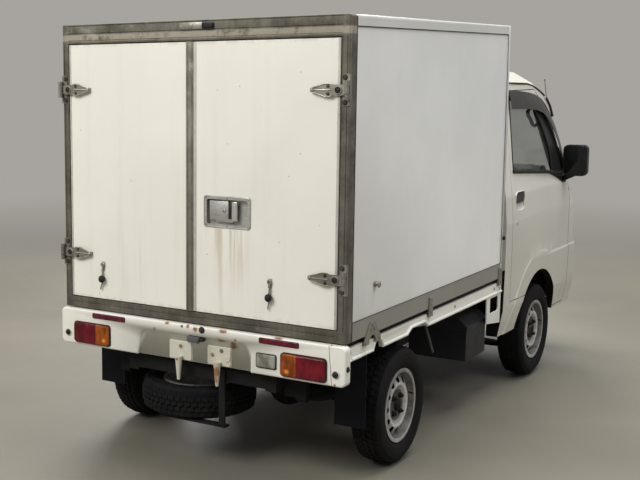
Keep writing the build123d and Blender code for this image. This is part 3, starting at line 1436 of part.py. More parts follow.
with BuildPart() as steering_wheel:
    with BuildSketch(Plane(origin=steering_plane.origin, x_dir=(0, 1, 0), z_dir=steering_plane.y_dir)):
        with Locations((STEERING_RADIUS, 0)):
            Circle(STEERING_RIM_RADIUS)
    revolve(axis=Axis(steering_plane.origin, steering_plane.z_dir))
    with BuildSketch(steering_plane.offset(-HUB_BACK)):
        Circle(HUB_RADIUS)
    extrude(amount=HUB_DEPTH)
    with BuildSketch(steering_plane.offset(-SPOKE_THICKNESS + 2)):
        with PolarLocations(0, 3, start_angle=90):
            with Locations((STEERING_RADIUS - HUB_RADIUS - HUB_DEPTH, 0)):
                Rectangle(STEERING_RADIUS - HUB_DEPTH, SPOKE_WIDTH)
    extrude(amount=SPOKE_THICKNESS)
    with BuildSketch(steering_plane.offset(-HUB_BACK)):
        Circle(SHAFT_PEG)
    extrude(amount=-SHAFT_LENGTH)
steering_wheel.part.label = "steering_wheel"
export_step(steering_wheel.part, "parts/steering_wheel.step")

# Seats, one solid each: a cushion on the deck and a back that leans
SEAT_INNER = 125
SEAT_OUTER = 605
seat_base = DECK_TOP + FIT
with BuildPart() as seats:
    for sign in (1, -1):
        with BuildSketch(side_plane(sign * (SEAT_INNER + SEAT_OUTER) / 2, FRONT_AXLE_X)):
            Polygon(
                (-410, seat_base),
                (130, seat_base),
                (140, DECK_TOP + 108),
                (110, DECK_TOP + 138),
                (-260, DECK_TOP + 118),
                (-340, DECK_TOP + 518),
                (-370, DECK_TOP + 738),
                (-460, DECK_TOP + 738),
                (-460, DECK_TOP + 518),
                (-430, DECK_TOP + 118),
                align=None,
            )
        extrude(amount=(SEAT_OUTER - SEAT_INNER) / 2, both=True)
seats.part.label = "seats"
export_step(seats.part, "parts/seats.step")

# Front suspension: struts on the steering axes, lower arms, steering rack
BALL_Y = 590
BALL_Z = 178
STRUT_TOP_Y = 500
STRUT_START = 150
STRUT_TOP_GAP = 12
STRUT_RADIUS = 23
COIL_START = 290
COIL_RADIUS = 40
STRUT_SEAT_RADIUS = 48
ARM_INNER = 330
ARM_REAR = -60
ARM_FRONT = 80
ARM_HALF_TIP = 22
ARM_THICKNESS = 18
ARM_BELOW_BALL = 14
RACK_X = -78
RACK_HALF = 20
RACK_HALF_LENGTH = 440
RACK_Z = 225
strut_length = sqrt((BALL_Y - STRUT_TOP_Y) ** 2 + (deck_low - BALL_Z) ** 2)


def strut_plane(sign):
    """Plane square to a steering axis, its origin at the lower ball joint."""
    lean = (0, sign * (STRUT_TOP_Y - BALL_Y) / strut_length, (deck_low - BALL_Z) / strut_length)
    return Plane(origin=place(0, sign * BALL_Y, BALL_Z, FRONT_AXLE_X), x_dir=(1, 0, 0), z_dir=lean)


arm_top = BALL_Z - ARM_BELOW_BALL
with BuildPart() as front_suspension:
    for sign in (1, -1):
        base = strut_plane(sign)
        with BuildSketch(base.offset(STRUT_START)):
            Circle(STRUT_RADIUS)
        extrude(amount=strut_length - STRUT_TOP_GAP - STRUT_START)
        with BuildSketch(base.offset(COIL_START)):
            Circle(COIL_RADIUS)
        extrude(amount=strut_length - STRUT_TOP_GAP - COIL_START)
        with BuildSketch(level_plane(arm_top, FRONT_AXLE_X)):
            Polygon(
                (-ARM_HALF_TIP, sign * (BALL_Y + 14)),
                (ARM_HALF_TIP, sign * (BALL_Y + 14)),
                (ARM_FRONT, sign * ARM_INNER),
                (ARM_REAR, sign * ARM_INNER),
                align=None,
            )
        extrude(amount=-ARM_THICKNESS)
        side_block(
            sign,
            (ARM_REAR, ARM_INNER, arm_top - ARM_THICKNESS),
            (ARM_FRONT, ARM_INNER + 30, FRONT_RAIL_BOTTOM),
            FRONT_AXLE_X,
        )
        side_block(
            sign,
            (RACK_X - RACK_HALF, 150, RACK_Z + 15),
            (RACK_X + RACK_HALF - 4, 190, FRONT_RAIL_BOTTOM + 5),
            FRONT_AXLE_X,
        )
        with BuildSketch(level_plane(deck_low - STRUT_TOP_GAP - FIT, FRONT_AXLE_X)):
            with Locations((0, sign * STRUT_TOP_Y)):
                Circle(STRUT_SEAT_RADIUS)
        extrude(amount=STRUT_TOP_GAP)
    block(
        (RACK_X - RACK_HALF, -RACK_HALF_LENGTH, RACK_Z - RACK_HALF),
        (RACK_X + RACK_HALF, RACK_HALF_LENGTH, RACK_Z + RACK_HALF),
        FRONT_AXLE_X,
    )
front_suspension.part.label = "front_suspension"
export_step(front_suspension.part, "parts/front_suspension.step")

# Knuckles: a clamp round the strut, the hub carrier, the brake disc and the steering arm
DISC_RADIUS = 112
DISC_INBOARD = 42
DISC_WIDTH = 12
BELL_RADIUS = 66
BELL_DEPTH = 18
CARRIER_RADIUS = 38
CARRIER_INNER = 585
BOSS_RADIUS = 20
BOSS_BELOW = 9.5
CLAMP_RADIUS = 32
CLAMP_START = 40
CLAMP_LENGTH = 200
STEERING_ARM_Z = 214
STEERING_ARM_THICKNESS = 16
front_hub_face = FRONT_TRACK / 2 + HUB_FACE - FIT
# where each disc of the hub starts, its length outwards, its radius
HUB_DISCS = (
    (CARRIER_INNER, front_hub_face - CARRIER_INNER, CARRIER_RADIUS),
    (front_hub_face - DISC_INBOARD, DISC_WIDTH, DISC_RADIUS),
    (front_hub_face - BELL_DEPTH, BELL_DEPTH, BELL_RADIUS),
    (front_hub_face, HUB_PILOT, HUB_BORE - FIT),
)
for side, sign in SIDES:
    base = strut_plane(sign)
    with BuildPart() as knuckle:
        with BuildSketch(base.offset(-BOSS_BELOW)):
            Circle(BOSS_RADIUS)
        extrude(amount=CLAMP_START + BOSS_RADIUS)
        with BuildSketch(base.offset(CLAMP_START)):
            Circle(CLAMP_RADIUS)
        extrude(amount=CLAMP_LENGTH)
        with BuildSketch(base.offset(STRUT_START - 1)):
            Circle(STRUT_RADIUS + FIT)
        extrude(amount=CLAMP_LENGTH, mode=Mode.SUBTRACT)
        for start, length, radius in HUB_DISCS:
            with BuildSketch(side_plane(sign * start, FRONT_AXLE_X)):
                with Locations((0, WHEEL_CENTRE_Z)):
                    Circle(radius)
            extrude(amount=-sign * length)
        with BuildSketch(level_plane(STEERING_ARM_Z, FRONT_AXLE_X)):
            Polygon(
                (8, sign * (BALL_Y + 8)),
                (8, sign * (BALL_Y - 22)),
                (RACK_X - 2, sign * (BALL_Y - 45)),
                (RACK_X - 10, sign * (BALL_Y - 28)),
                align=None,
            )
        extrude(amount=STEERING_ARM_THICKNESS)
    knuckle.part.label = f"knuckle_{side}"
    export_step(knuckle.part, f"parts/knuckle_{side}.step")
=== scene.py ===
"""Looks of a small cab-over truck with a panelled van box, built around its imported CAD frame."""

import json
import math

import bmesh
import bpy
from mathutils import Matrix, Vector, noise

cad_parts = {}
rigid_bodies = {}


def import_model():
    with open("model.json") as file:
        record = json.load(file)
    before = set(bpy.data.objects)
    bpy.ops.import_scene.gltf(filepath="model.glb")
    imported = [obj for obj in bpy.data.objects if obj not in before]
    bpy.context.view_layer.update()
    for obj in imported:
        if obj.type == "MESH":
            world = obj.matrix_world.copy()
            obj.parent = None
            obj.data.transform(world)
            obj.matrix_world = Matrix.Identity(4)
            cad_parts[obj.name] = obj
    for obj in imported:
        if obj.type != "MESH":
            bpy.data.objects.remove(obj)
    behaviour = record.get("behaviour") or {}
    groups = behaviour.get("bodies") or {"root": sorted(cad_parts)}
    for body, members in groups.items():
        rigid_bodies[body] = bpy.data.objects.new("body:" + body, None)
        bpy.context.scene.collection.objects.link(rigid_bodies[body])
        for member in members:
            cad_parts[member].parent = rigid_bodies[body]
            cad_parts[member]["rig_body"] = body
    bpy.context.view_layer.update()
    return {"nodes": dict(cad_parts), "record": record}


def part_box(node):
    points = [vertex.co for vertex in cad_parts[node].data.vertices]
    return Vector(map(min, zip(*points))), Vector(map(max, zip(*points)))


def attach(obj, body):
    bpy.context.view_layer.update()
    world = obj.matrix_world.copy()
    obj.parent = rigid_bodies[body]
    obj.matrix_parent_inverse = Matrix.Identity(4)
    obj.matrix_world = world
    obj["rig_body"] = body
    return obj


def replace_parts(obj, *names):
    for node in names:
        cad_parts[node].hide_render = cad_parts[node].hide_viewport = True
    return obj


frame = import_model()

REAR_AXLE = -1.0525
FRONT_AXLE = 0.8475
WHEEL_HEIGHT = 0.268
# heights of the two pressed lines along the flanks of the cab
CREASES = (0.94, 1.075)
SIDES = (("left", 1), ("right", -1))
AXLES = (("front", FRONT_AXLE), ("rear", REAR_AXLE))
BODY_OF = {node: obj["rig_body"] for node, obj in frame["nodes"].items()}
SLOT_OF = {part["node"]: part["material_slot"] for part in frame["record"]["subparts"]}
X_AXIS = Vector((1, 0, 0))
Y_AXIS = Vector((0, 1, 0))
Z_AXIS = Vector((0, 0, 1))


def bed(x, y, z):
    """A point whose x is given from the rear axle."""
    return Vector((x + REAR_AXLE, y, z))


def cab(x, y, z):
    """A point whose x is given from the front axle."""
    return Vector((x + FRONT_AXLE, y, z))


# Shader sums and finishes


class Signal:
    """A shader socket that takes part in sums."""

    def __init__(self, finish, socket):
        self.finish = finish
        self.socket = socket

    def __add__(self, other):
        return self.finish.maths("ADD", self, other)

    __radd__ = __add__

    def __sub__(self, other):
        return self.finish.maths("SUBTRACT", self, other)

    def __rsub__(self, other):
        return self.finish.maths("SUBTRACT", other, self)

    def __mul__(self, other):
        return self.finish.maths("MULTIPLY", self, other)

    __rmul__ = __mul__


class Finish:
    """One material, its nodes made through a single method."""

    def __init__(self, name):
        self.material = bpy.data.materials.new(name)
        self.material.use_nodes = True
        self.tree = self.material.node_tree
        self.tree.nodes.clear()
        self.where = self.node("TexCoord", output="Object")

    def node(self, kind, settings=None, sockets=None, output=0):
        made = self.tree.nodes.new("ShaderNode" + kind)
        for key, value in (settings or {}).items():
            setattr(made, key, value)
        for key, value in (sockets or {}).items():
            if isinstance(value, Signal):
                self.tree.links.new(value.socket, made.inputs[key])
            else:
                made.inputs[key].default_value = value
        return Signal(self, made.outputs[output])

    def maths(self, operation, first, second=0.0):
        return self.node("Math", {"operation": operation}, {0: first, 1: second})

    def either(self, first, second):
        return self.maths("MAXIMUM", first, second)

    def tint(self, factor, under, over):
        """Colour under, covered by colour over where factor is 1."""
        colours = [c if isinstance(c, Signal) else (*c, 1) for c in (under, over)]
        sockets = {0: factor, 6: colours[0], 7: colours[1]}
        return self.node("Mix", {"data_type": "RGBA"}, sockets, output=2)

    def shade(self, colour, amount):
        """A colour made darker or lighter by amount."""
        colour = colour if isinstance(colour, Signal) else (*colour, 1)
        grey = self.node("CombineColor", None, {0: amount, 1: amount, 2: amount})
        sockets = {0: 1.0, 6: colour, 7: grey}
        settings = {"data_type": "RGBA", "blend_type": "MULTIPLY"}
        return self.node("Mix", settings, sockets, output=2)

    def fade(self, signal, low, high, start=0.0, end=1.0):
        sockets = {"Value": signal, "From Min": low, "From Max": high, "To Min": start, "To Max": end}
        return self.node("MapRange", {"interpolation_type": "SMOOTHSTEP"}, sockets)

    def drawn(self, x, y, z):
        """Object coordinates drawn out or squeezed along each axis."""
        return self.node("Mapping", None, {"Vector": self.where, "Scale": (x, y, z)})

    def cloud(self, scale, detail=3.0, rough=0.55, along=None):
        sockets = {"Vector": along or self.where, "Scale": scale, "Detail": detail, "Roughness": rough}
        return self.node("TexNoise", None, sockets)

    def cells(self, scale):
        return self.node("TexVoronoi", None, {"Vector": self.where, "Scale": scale})

    def along(self, axis):
        return self.node("SeparateXYZ", None, {0: self.where}, output=axis)

    def near(self, point, reach, tall=1.0):
        """1 at a point, fading to 0 at its reach, which can be taller than wide."""
        squeeze = Vector((1, 1, 1 / tall))
        sockets = {0: self.drawn(*squeeze), 1: tuple(Vector(point) * squeeze)}
        away = self.node("VectorMath", {"operation": "DISTANCE"}, sockets, output="Value")
        return self.fade(away, reach, reach * 0.1)

    def surface(self, sockets, relief=None, depth=0.001):
        if relief is not None:
            bump = {"Height": relief, "Distance": depth, "Strength": 1.0}
            sockets = {**sockets, "Normal": self.node("Bump", None, bump)}
        shader = self.node("BsdfPrincipled", None, sockets)
        self.node_out(shader)
        return self.material

    def node_out(self, shader):
        self.tree.links.new(shader.socket, self.tree.nodes.new("ShaderNodeOutputMaterial").inputs[0])


RUST = (0.23, 0.085, 0.03)
RUST_LIGHT = (0.47, 0.2, 0.07)
ROAD_DUST = (0.2, 0.18, 0.15)


def painted(
    name, colour, gloss, dust, dust_top, runs=0.0, rust=(), coat=0.3, specks=0.0, shine=0.5, film_and_shade=0.0,
):
    """Coated sheet: faint mottling, dust towards the ground, runs of dirt and rust round points.

    Painted shade, where there is some, darkens the flanks below the pressed line, so that the band above it
    reads lighter, as if it caught more light.
    """
    f = Finish(name)
    mottle = f.cloud(2.3, 4)
    base = f.shade(colour, f.fade(mottle, 0.3, 0.7, 0.95, 1.02))
    # painted shade on the flanks below the pressed line, for the lighter band above it
    if film_and_shade:
        flank = f.fade(f.maths("ABSOLUTE", f.along("Y")), 0.66, 0.71)
        base = f.shade(base, 1.0 - film_and_shade * flank * f.fade(f.along("Z"), 1.1, 1.078))
    streak = f.fade(f.cloud(7.0, 5, 0.6, f.drawn(1, 1, 0.07)), 0.5, 0.78)
    if runs:
        base = f.tint(streak * runs, base, (0.42, 0.37, 0.29))
    low = f.fade(f.along("Z"), dust_top, 0.25)
    grime = low * f.fade(f.cloud(9, 6, 0.62), 0.34, 0.7) * dust
    base = f.tint(grime, base, ROAD_DUST)
    if specks:
        chips = f.fade(f.cells(26.0), 0.1, 0.045) * f.fade(f.cloud(5.0), 0.52, 0.62)
        base = f.tint(chips * specks, base, (0.17, 0.13, 0.09))
    rough = gloss + 0.1 * mottle + 0.35 * grime
    if rust:
        eaten = None
        for x, y, z, reach, tall in rust:
            spot = f.near(bed(x, y, z), reach, tall)
            eaten = spot if eaten is None else f.either(eaten, spot)
        drip = f.cloud(60.0, 6, 0.65, f.drawn(1, 1, 0.16))
        patchy = f.cloud(75.0, 7, 0.68)
        stain = f.fade(eaten + 0.9 * drip, 0.7, 1.5)
        scab = f.fade(eaten + 1.1 * patchy, 1.28, 1.44)
        base = f.tint(stain * 0.5, base, (0.5, 0.33, 0.12))
        base = f.tint(scab * 0.9, base, f.tint(f.cloud(140.0), RUST, (0.33, 0.15, 0.06)))
        rough = rough + 0.4 * scab
    sockets = {"Base Color": base, "Roughness": rough, "Coat Weight": coat, "Coat Roughness": 0.12}
    return f.surface({**sockets, "Specular IOR Level": shine}, f.cloud(160.0, 2), 0.00012)


def metal(name, colour, dull, gloss, scratch, rust=0.0, brushed=(1, 1, 1), depth=0.0004):
    """Bare or plated metal with a dull film over it, fine scratches and a share of rust."""
    f = Finish(name)
    film_and_shade = f.fade(f.cloud(11.0, 6, 0.6), 0.34, 0.68)
    lines = f.cloud(220.0, 3, 0.6, f.drawn(*brushed))
    base = f.tint(film_and_shade, colour, dull)
    base = f.shade(base, f.fade(lines, 0.3, 0.7, 1 - 0.16 * scratch, 1 + 0.06 * scratch))
    rough = gloss + 0.25 * film_and_shade + 0.14 * lines
    metallic = 0.9 - 0.35 * film_and_shade
    if rust:
        scab = f.fade(f.cloud(48.0, 7, 0.66), 0.72 - 0.3 * rust, 0.8 - 0.22 * rust)
        base = f.tint(scab * 0.85, base, f.tint(f.cloud(90.0), RUST, RUST_LIGHT))
        rough = rough + 0.3 * scab
        metallic = metallic * (1 - scab)
    return f.surface({"Base Color": base, "Roughness": rough, "Metallic": metallic}, lines, depth)


def moulded(name, colour, gloss, grain, dust, depth=0.00015, shine=0.3):
    """Moulded plastic or rubber with a fine grain and dust that settles in patches."""
    f = Finish(name)
    haze = f.fade(f.cloud(6.0, 5, 0.6), 0.38, 0.72)
    base = f.tint(haze * dust, colour, ROAD_DUST)
    base = f.shade(base, f.fade(f.cloud(40.0, 2), 0.2, 0.8, 0.9, 1.08))
    sockets = {"Base Color": base, "Roughness": gloss + 0.2 * haze, "Specular IOR Level": shine}
    return f.surface(sockets, f.cells(grain), depth)


def glazed(name, colour, alpha, gloss=0.03):
    """Clear or smoked glazing with a faint film of dust."""
    f = Finish(name)
    film_and_shade = f.fade(f.cloud(5.0, 5, 0.6), 0.35, 0.75)
    sockets = {
        "Base Color": f.tint(film_and_shade * 0.06, colour, (0.4, 0.38, 0.33)),
        "Roughness": gloss + 0.05 * film_and_shade,
        "Alpha": alpha + 0.05 * film_and_shade,
        "IOR": 1.5,
    }
    return f.surface(sockets)


def lens(name, colour, ribs=300.0, depth=0.0004, glints=(), glint_colour=(1, 1, 1)):
    """Moulded lamp lens: deep colour, fine upright prisms with painted light and shade across their bands,
    painted shading of the reflector behind, and painted glints.
    """
    f = Finish(name)
    prism = f.node(
        "TexWave",
        {"wave_type": "BANDS", "bands_direction": "Y", "wave_profile": "SIN"},
        {"Vector": f.where, "Scale": ribs / 6.28, "Distortion": 0.0, "Detail": 0.0},
    )
    haze = f.cloud(14.0, 4)
    # painted shading: lighter and darker patches for the reflector seen through the lens, and painted light
    # and shade across the prisms
    reflector_shading = f.fade(f.cloud(22.0, 3, 0.5, f.drawn(1, 1.6, 0.7)), 0.35, 0.66, 0.6, 1.35)
    base = f.shade(f.tint(haze * 0.02, colour, ROAD_DUST), f.fade(prism, 0.0, 1.0, 0.88, 1.05) * reflector_shading)
    # painted glints: bright spots where the bulb and its reflector catch the light
    for point in glints:
        base = f.tint(f.near(point, 0.017, 0.8) * 0.85, base, glint_colour)
    sockets = {
        "Base Color": base,
        "Roughness": 0.1 + 0.1 * haze,
        "Coat Weight": 0.2,
        "Coat Roughness": 0.05,
        "Specular IOR Level": 0.25,
    }
    return f.surface(sockets, prism, depth)


def woven(name, colour, second):
    """Woven seat cloth: crossed yarns on its own map and a soft sheen."""
    f = Finish(name)
    over = f.node("UVMap")
    weave = []
    for direction in ("X", "Y"):
        sockets = {"Vector": over, "Scale": 62.0, "Distortion": 0.4, "Detail": 1.0}
        settings = {"wave_type": "BANDS", "bands_direction": direction, "wave_profile": "SIN"}
        weave.append(f.node("TexWave", settings, sockets))
    yarn = weave[0] * weave[1]
    base = f.tint(f.fade(yarn, 0.1, 0.7), second, colour)
    base = f.shade(base, f.fade(f.cloud(7.0, 4), 0.3, 0.7, 0.85, 1.1))
    return f.surface({"Base Color": base, "Roughness": 0.9, "Sheen Weight": 0.35}, yarn, 0.0006)


def tyre_compound():
    """Tyre rubber: grey-black, browner with road dust in patches."""
    f = Finish("tyre_compound")
    worn = f.fade(f.cloud(13.0, 6, 0.64), 0.36, 0.7)
    base = f.tint(worn * 0.3, (0.006, 0.006, 0.007), (0.028, 0.026, 0.023))
    sockets = {"Base Color": base, "Roughness": 0.72 + 0.16 * worn, "Specular IOR Level": 0.16}
    return f.surface(sockets, f.cloud(300.0, 3), 0.0003)


def plywood():
    """Worn load-floor plywood: grain drawn out along x, scuffs and dirt."""
    f = Finish("plywood")
    grain = f.cloud(24.0, 6, 0.62, f.drawn(0.12, 2.2, 1))
    base = f.tint(f.fade(grain, 0.3, 0.7), (0.36, 0.25, 0.14), (0.2, 0.13, 0.07))
    scuff = f.fade(f.cloud(4.0, 7, 0.7), 0.45, 0.7)
    base = f.tint(scuff * 0.55, base, (0.16, 0.14, 0.12))
    return f.surface({"Base Color": base, "Roughness": 0.6 + 0.25 * scuff}, grain, 0.0006)


def extrusion():
    """Weathered aluminium section: brown-grey oxide, draw lines and paler rubbed patches."""
    f = Finish("extrusion")
    oxide = f.fade(f.cloud(6.0, 7, 0.68), 0.34, 0.66)
    draw = f.cloud(90.0, 3, 0.6, f.drawn(1, 1, 0.03))
    base = f.tint(oxide, (0.175, 0.16, 0.13), (0.085, 0.076, 0.06))
    pale = f.fade(f.cloud(17.0, 6, 0.7, f.drawn(1, 0.35, 0.5)), 0.56, 0.7)
    base = f.tint(pale * 0.45, base, (0.4, 0.37, 0.31))
    base = f.shade(base, f.fade(draw, 0.2, 0.8, 0.85, 1.12))
    top = f.fade(f.along("Z"), 1.9, 1.91) * f.fade(f.along("Z"), 1.938, 1.93)
    crust = top * f.fade(f.cloud(22.0, 6, 0.7), 0.34, 0.5)
    base = f.tint(crust * 0.6, base, (0.42, 0.38, 0.3))
    sockets = {"Base Color": base, "Roughness": 0.5 + 0.2 * oxide, "Metallic": 0.55 - 0.35 * crust}
    return f.surface(sockets, draw, 0.0003)


def door_skin():
    """Coated door panel: warm white with soft dirt runs, rust runs under the latch and marks."""
    f = Finish("door_skin")
    y, z = f.along("Y"), f.along("Z")
    base = f.shade((0.82, 0.805, 0.735), f.fade(f.cloud(1.6, 4), 0.3, 0.7, 0.96, 1.02))
    run = f.fade(f.cloud(16.0, 5, 0.62, f.drawn(1, 1, 0.045)), 0.5, 0.74)
    low = f.fade(z, 1.35, 0.75)
    base = f.tint(run * (0.1 + 0.22 * low), base, (0.5, 0.43, 0.33))
    beneath = f.fade(z, 1.105, 1.09) * f.fade(z, 0.74, 1.08)
    across = f.fade(y, -0.3, -0.22) * f.fade(y, -0.02, -0.09)
    drip = f.fade(f.cloud(42.0, 4, 0.6, f.drawn(1, 1, 0.03)), 0.47, 0.66)
    base = f.tint(beneath * across * drip * 0.5, base, (0.42, 0.3, 0.16))
    chips = f.fade(f.cells(15.0), 0.06, 0.03) * f.fade(f.cloud(4.0), 0.5, 0.6)
    base = f.tint(chips * 0.75, base, (0.3, 0.28, 0.25))
    edge = f.either(f.fade(z, 0.742, 0.722), f.fade(z, 1.87, 1.89))
    base = f.tint(edge * f.fade(f.cloud(30.0, 5), 0.4, 0.6) * 0.3, base, (0.36, 0.31, 0.24))
    for point in (bed(-0.6, 0.622, 1.5), bed(-0.6, 0.335, 1.28), bed(-0.6, -0.42, 1.06)):
        base = f.tint(f.near(point, 0.011) * 0.8, base, (0.16, 0.15, 0.14))
    sockets = {"Base Color": base, "Roughness": 0.34 + 0.16 * run, "Coat Weight": 0.25}
    return f.surface({**sockets, "Coat Roughness": 0.2}, f.cloud(2.2, 2), 0.0022)


def wheel_silver():
    """Silver wheel paint: a painted highlight on the raised ring, and painted shade with brake dust packed
    in the hub and round the rim's foot.
    """
    f = Finish("wheel_silver")
    reach = None
    for axle_x in (FRONT_AXLE, REAR_AXLE):
        sockets = {0: f.drawn(1, 0, 1), 1: (axle_x, 0, WHEEL_HEIGHT)}
        away = f.node("VectorMath", {"operation": "DISTANCE"}, sockets, output="Value")
        reach = away if reach is None else f.maths("MINIMUM", reach, away)
    patchy = f.fade(f.cloud(17.0, 6, 0.66), 0.36, 0.66)
    # painted shade with brake dust: the hub's recess and the well at the rim's foot
    hub = f.fade(reach, 0.078, 0.068)
    foot = f.fade(reach, 0.122, 0.14) * f.fade(reach, 0.153, 0.149)
    dirt_and_shade = f.either(patchy * 0.45, f.either(hub * 0.95, foot * (0.75 + 0.25 * patchy)))
    # painted highlight: the raised ring is painted bright
    ring = f.fade(reach, 0.084, 0.093) * f.fade(reach, 0.106, 0.099)
    silver = f.tint(ring * 0.85, (0.5, 0.5, 0.485), (0.92, 0.92, 0.9))
    base = f.tint(dirt_and_shade * 0.95, silver, (0.045, 0.04, 0.034))
    rusty = f.fade(f.cloud(52.0, 6, 0.7), 0.66, 0.72)
    base = f.tint(rusty * 0.7, base, RUST)
    sockets = {"Base Color": base, "Roughness": 0.36 + 0.3 * dirt_and_shade, "Metallic": 0.55 - 0.4 * dirt_and_shade}
    return f.surface(sockets, f.cloud(130.0, 3), 0.0003)


# x from the rear axle, y, z, reach and how much taller than wide, of each rusty place
BED_RUST = (
    (-0.62, -0.672, 0.652, 0.016, 2.2), (-0.62, -0.697, 0.65, 0.012, 2.6),
    (-0.62, -0.66, 0.5, 0.02, 1.5), (-0.628, -0.69, 0.497, 0.012, 1.4),
    (-0.61, -0.105, 0.553, 0.028, 1.2), (-0.61, -0.15, 0.57, 0.022, 1.1),
    (-0.61, -0.2, 0.59, 0.05, 0.8), (-0.61, -0.14, 0.61, 0.06, 0.5),
    (-0.628, -0.02, 0.645, 0.03, 0.9), (-0.628, 0.02, 0.655, 0.02, 1.4),
    (-0.628, -0.16, 0.652, 0.05, 0.4), (-0.628, 0.13, 0.655, 0.03, 0.5),
    (-0.628, -0.43, 0.657, 0.05, 0.25), (-0.61, 0.11, 0.55, 0.02, 1.6),
    (-0.55, -0.725, 0.62, 0.02, 1.5), (1.26, -0.725, 0.6, 0.03, 1.5),
)
HOOK_RUST = (
    (-0.64, -0.13, 0.47, 0.05, 1.5), (-0.64, -0.13, 0.43, 0.03, 1.5),
    (-0.635, -0.165, 0.535, 0.024, 1.0), (-0.635, -0.12, 0.555, 0.026, 1.2),
    (-0.635, 0.07, 0.5, 0.02, 1.0), (-0.635, 0.045, 0.53, 0.014, 1.4),
    (-0.62, -0.13, 0.505, 0.02, 0.8), (-0.62, -0.13, 0.552, 0.018, 1.3),
    (-0.62, -0.168, 0.54, 0.014, 1.0), (-0.63, -0.13, 0.45, 0.012, 3.0),
    (-0.62, 0.07, 0.505, 0.012, 0.8),
)
# Paints: colour, gloss, dust and the height where it ends, runs of dirt, rust, coat, specks; the cab's paint
# also gets painted shade on its flanks below the pressed line
cab_paint = painted("cab_paint", (0.76, 0.735, 0.66), 0.26, 0.2, 0.7, 0.05, coat=0.6, film_and_shade=0.15)
bed_paint = painted("bed_paint", (0.85, 0.835, 0.765), 0.36, 0.3, 0.62, 0.16, BED_RUST, 0.2, 0.5)
# a cleaner, lighter copy of the bed's white: partly painted highlight for the lit hem and the handles' lips
hem_paint = painted("hem_paint", (0.86, 0.85, 0.79), 0.3, 0.05, 0.3, coat=0.5)
side_paint = painted("side_paint", (0.8, 0.8, 0.775), 0.14, 0.2, 0.9, 0.04, coat=0.8)
# the box roof's white painted darker than the sides': painted shade against the strong light from above
roof_paint = painted("roof_paint", (0.6, 0.6, 0.575), 0.4, 0.2, 0.9, 0.0, coat=0.2, specks=0.3)
rail_paint = painted("rail_paint", (0.255, 0.245, 0.215), 0.4, 0.3, 0.9, 0.2, specks=0.8)
BRACKET_RUST = ((-0.36, -0.73, 0.63, 0.05, 0.5),)
bracket_paint = painted("bracket_paint", (0.2, 0.19, 0.145), 0.45, 0.3, 0.8, 0.25, BRACKET_RUST, 0.1, 0.5)
inner_paint = painted("inner_paint", (0.42, 0.42, 0.4), 0.5, 0.5, 0.7)
# chassis black, made darker still as painted shade for the dark under the truck
chassis_paint = painted("chassis_paint", (0.008, 0.008, 0.009), 0.6, 0.03, 0.9, coat=0.0, shine=0.15)
door_paint = door_skin()
aluminium = extrusion()
floor_board = plywood()
# Metals: colour, colour of the dull film, gloss, scratches, rust
hinge_metal = metal("hinge_metal", (0.36, 0.34, 0.3), (0.19, 0.17, 0.14), 0.36, 1.0, 0.3)
latch_metal = metal("latch_metal", (0.56, 0.55, 0.52), (0.38, 0.37, 0.34), 0.34, 1.0, 0.1, (1, 0.1, 1))
bolt_metal = metal("bolt_metal", (0.42, 0.4, 0.36), (0.22, 0.19, 0.15), 0.4, 1.0, 0.5)
bright_metal = metal("bright_metal", (0.72, 0.72, 0.7), (0.5, 0.5, 0.48), 0.16, 0.3)
iron = metal("iron", (0.1, 0.095, 0.09), (0.05, 0.044, 0.038), 0.5, 0.8, 0.3, depth=0.0008)
dark_iron = metal("dark_iron", (0.035, 0.033, 0.031), (0.014, 0.012, 0.01), 0.5, 0.6, 0.12)
exhaust_metal = metal("exhaust_metal", (0.16, 0.14, 0.12), (0.08, 0.06, 0.045), 0.45, 0.8, 0.4)
hook_metal = painted("hook_metal", (0.6, 0.575, 0.48), 0.5, 0.2, 0.62, 0.75, HOOK_RUST, 0.05, 0.8)
rim_paint = wheel_silver()
tyre_rubber = tyre_compound()
# Plastics and rubbers: colour, gloss, fineness of the grain, dust, depth of the grain, shine
black_plastic = moulded("black_plastic", (0.012, 0.012, 0.013), 0.32, 500.0, 0.06)
battery_plastic = moulded("battery_plastic", (0.011, 0.012, 0.016), 0.45, 300.0, 0.06)
dash_plastic = moulded("dash_plastic", (0.06, 0.06, 0.063), 0.55, 700.0, 0.1)
seal_rubber = moulded("seal_rubber", (0.01, 0.01, 0.011), 0.55, 300.0, 0.12)
pale_seal = moulded("pale_seal", (0.5, 0.48, 0.42), 0.5, 300.0, 0.35)
flap_rubber = moulded("flap_rubber", (0.0025, 0.0035, 0.007), 0.5, 200.0, 0.02, 0.0004, 0.15)
window_glass = glazed("window_glass", (0.1, 0.14, 0.115), 0.18)
smoke_glass = glazed("smoke_glass", (0.014, 0.011, 0.009), 0.9, 0.12)
clear_glass = glazed("clear_glass", (0.6, 0.62, 0.6), 0.24)
grey_plastic = moulded("grey_plastic", (0.09, 0.092, 0.1), 0.5, 300.0, 0.3)
mirror_glass = moulded("mirror_glass", (0.01, 0.011, 0.012), 0.03, 300.0, 0.0, 0.0)
red_lens = lens("red_lens", (0.13, 0.0008, 0.009))
# painted glints: where the bulbs and their reflectors show bright behind the amber lenses
AMBER_GLINTS = (bed(-0.644, 0.4735, 0.53), bed(-0.644, -0.479, 0.5265))
amber_lens = lens("amber_lens", (0.27, 0.058, 0.003), glints=AMBER_GLINTS, glint_colour=(0.95, 0.33, 0.05))
clear_lens = lens("clear_lens", (0.24, 0.24, 0.2))
reflector_lens = lens("reflector_lens", (0.115, 0.003, 0.022), 420.0, 0.0006)
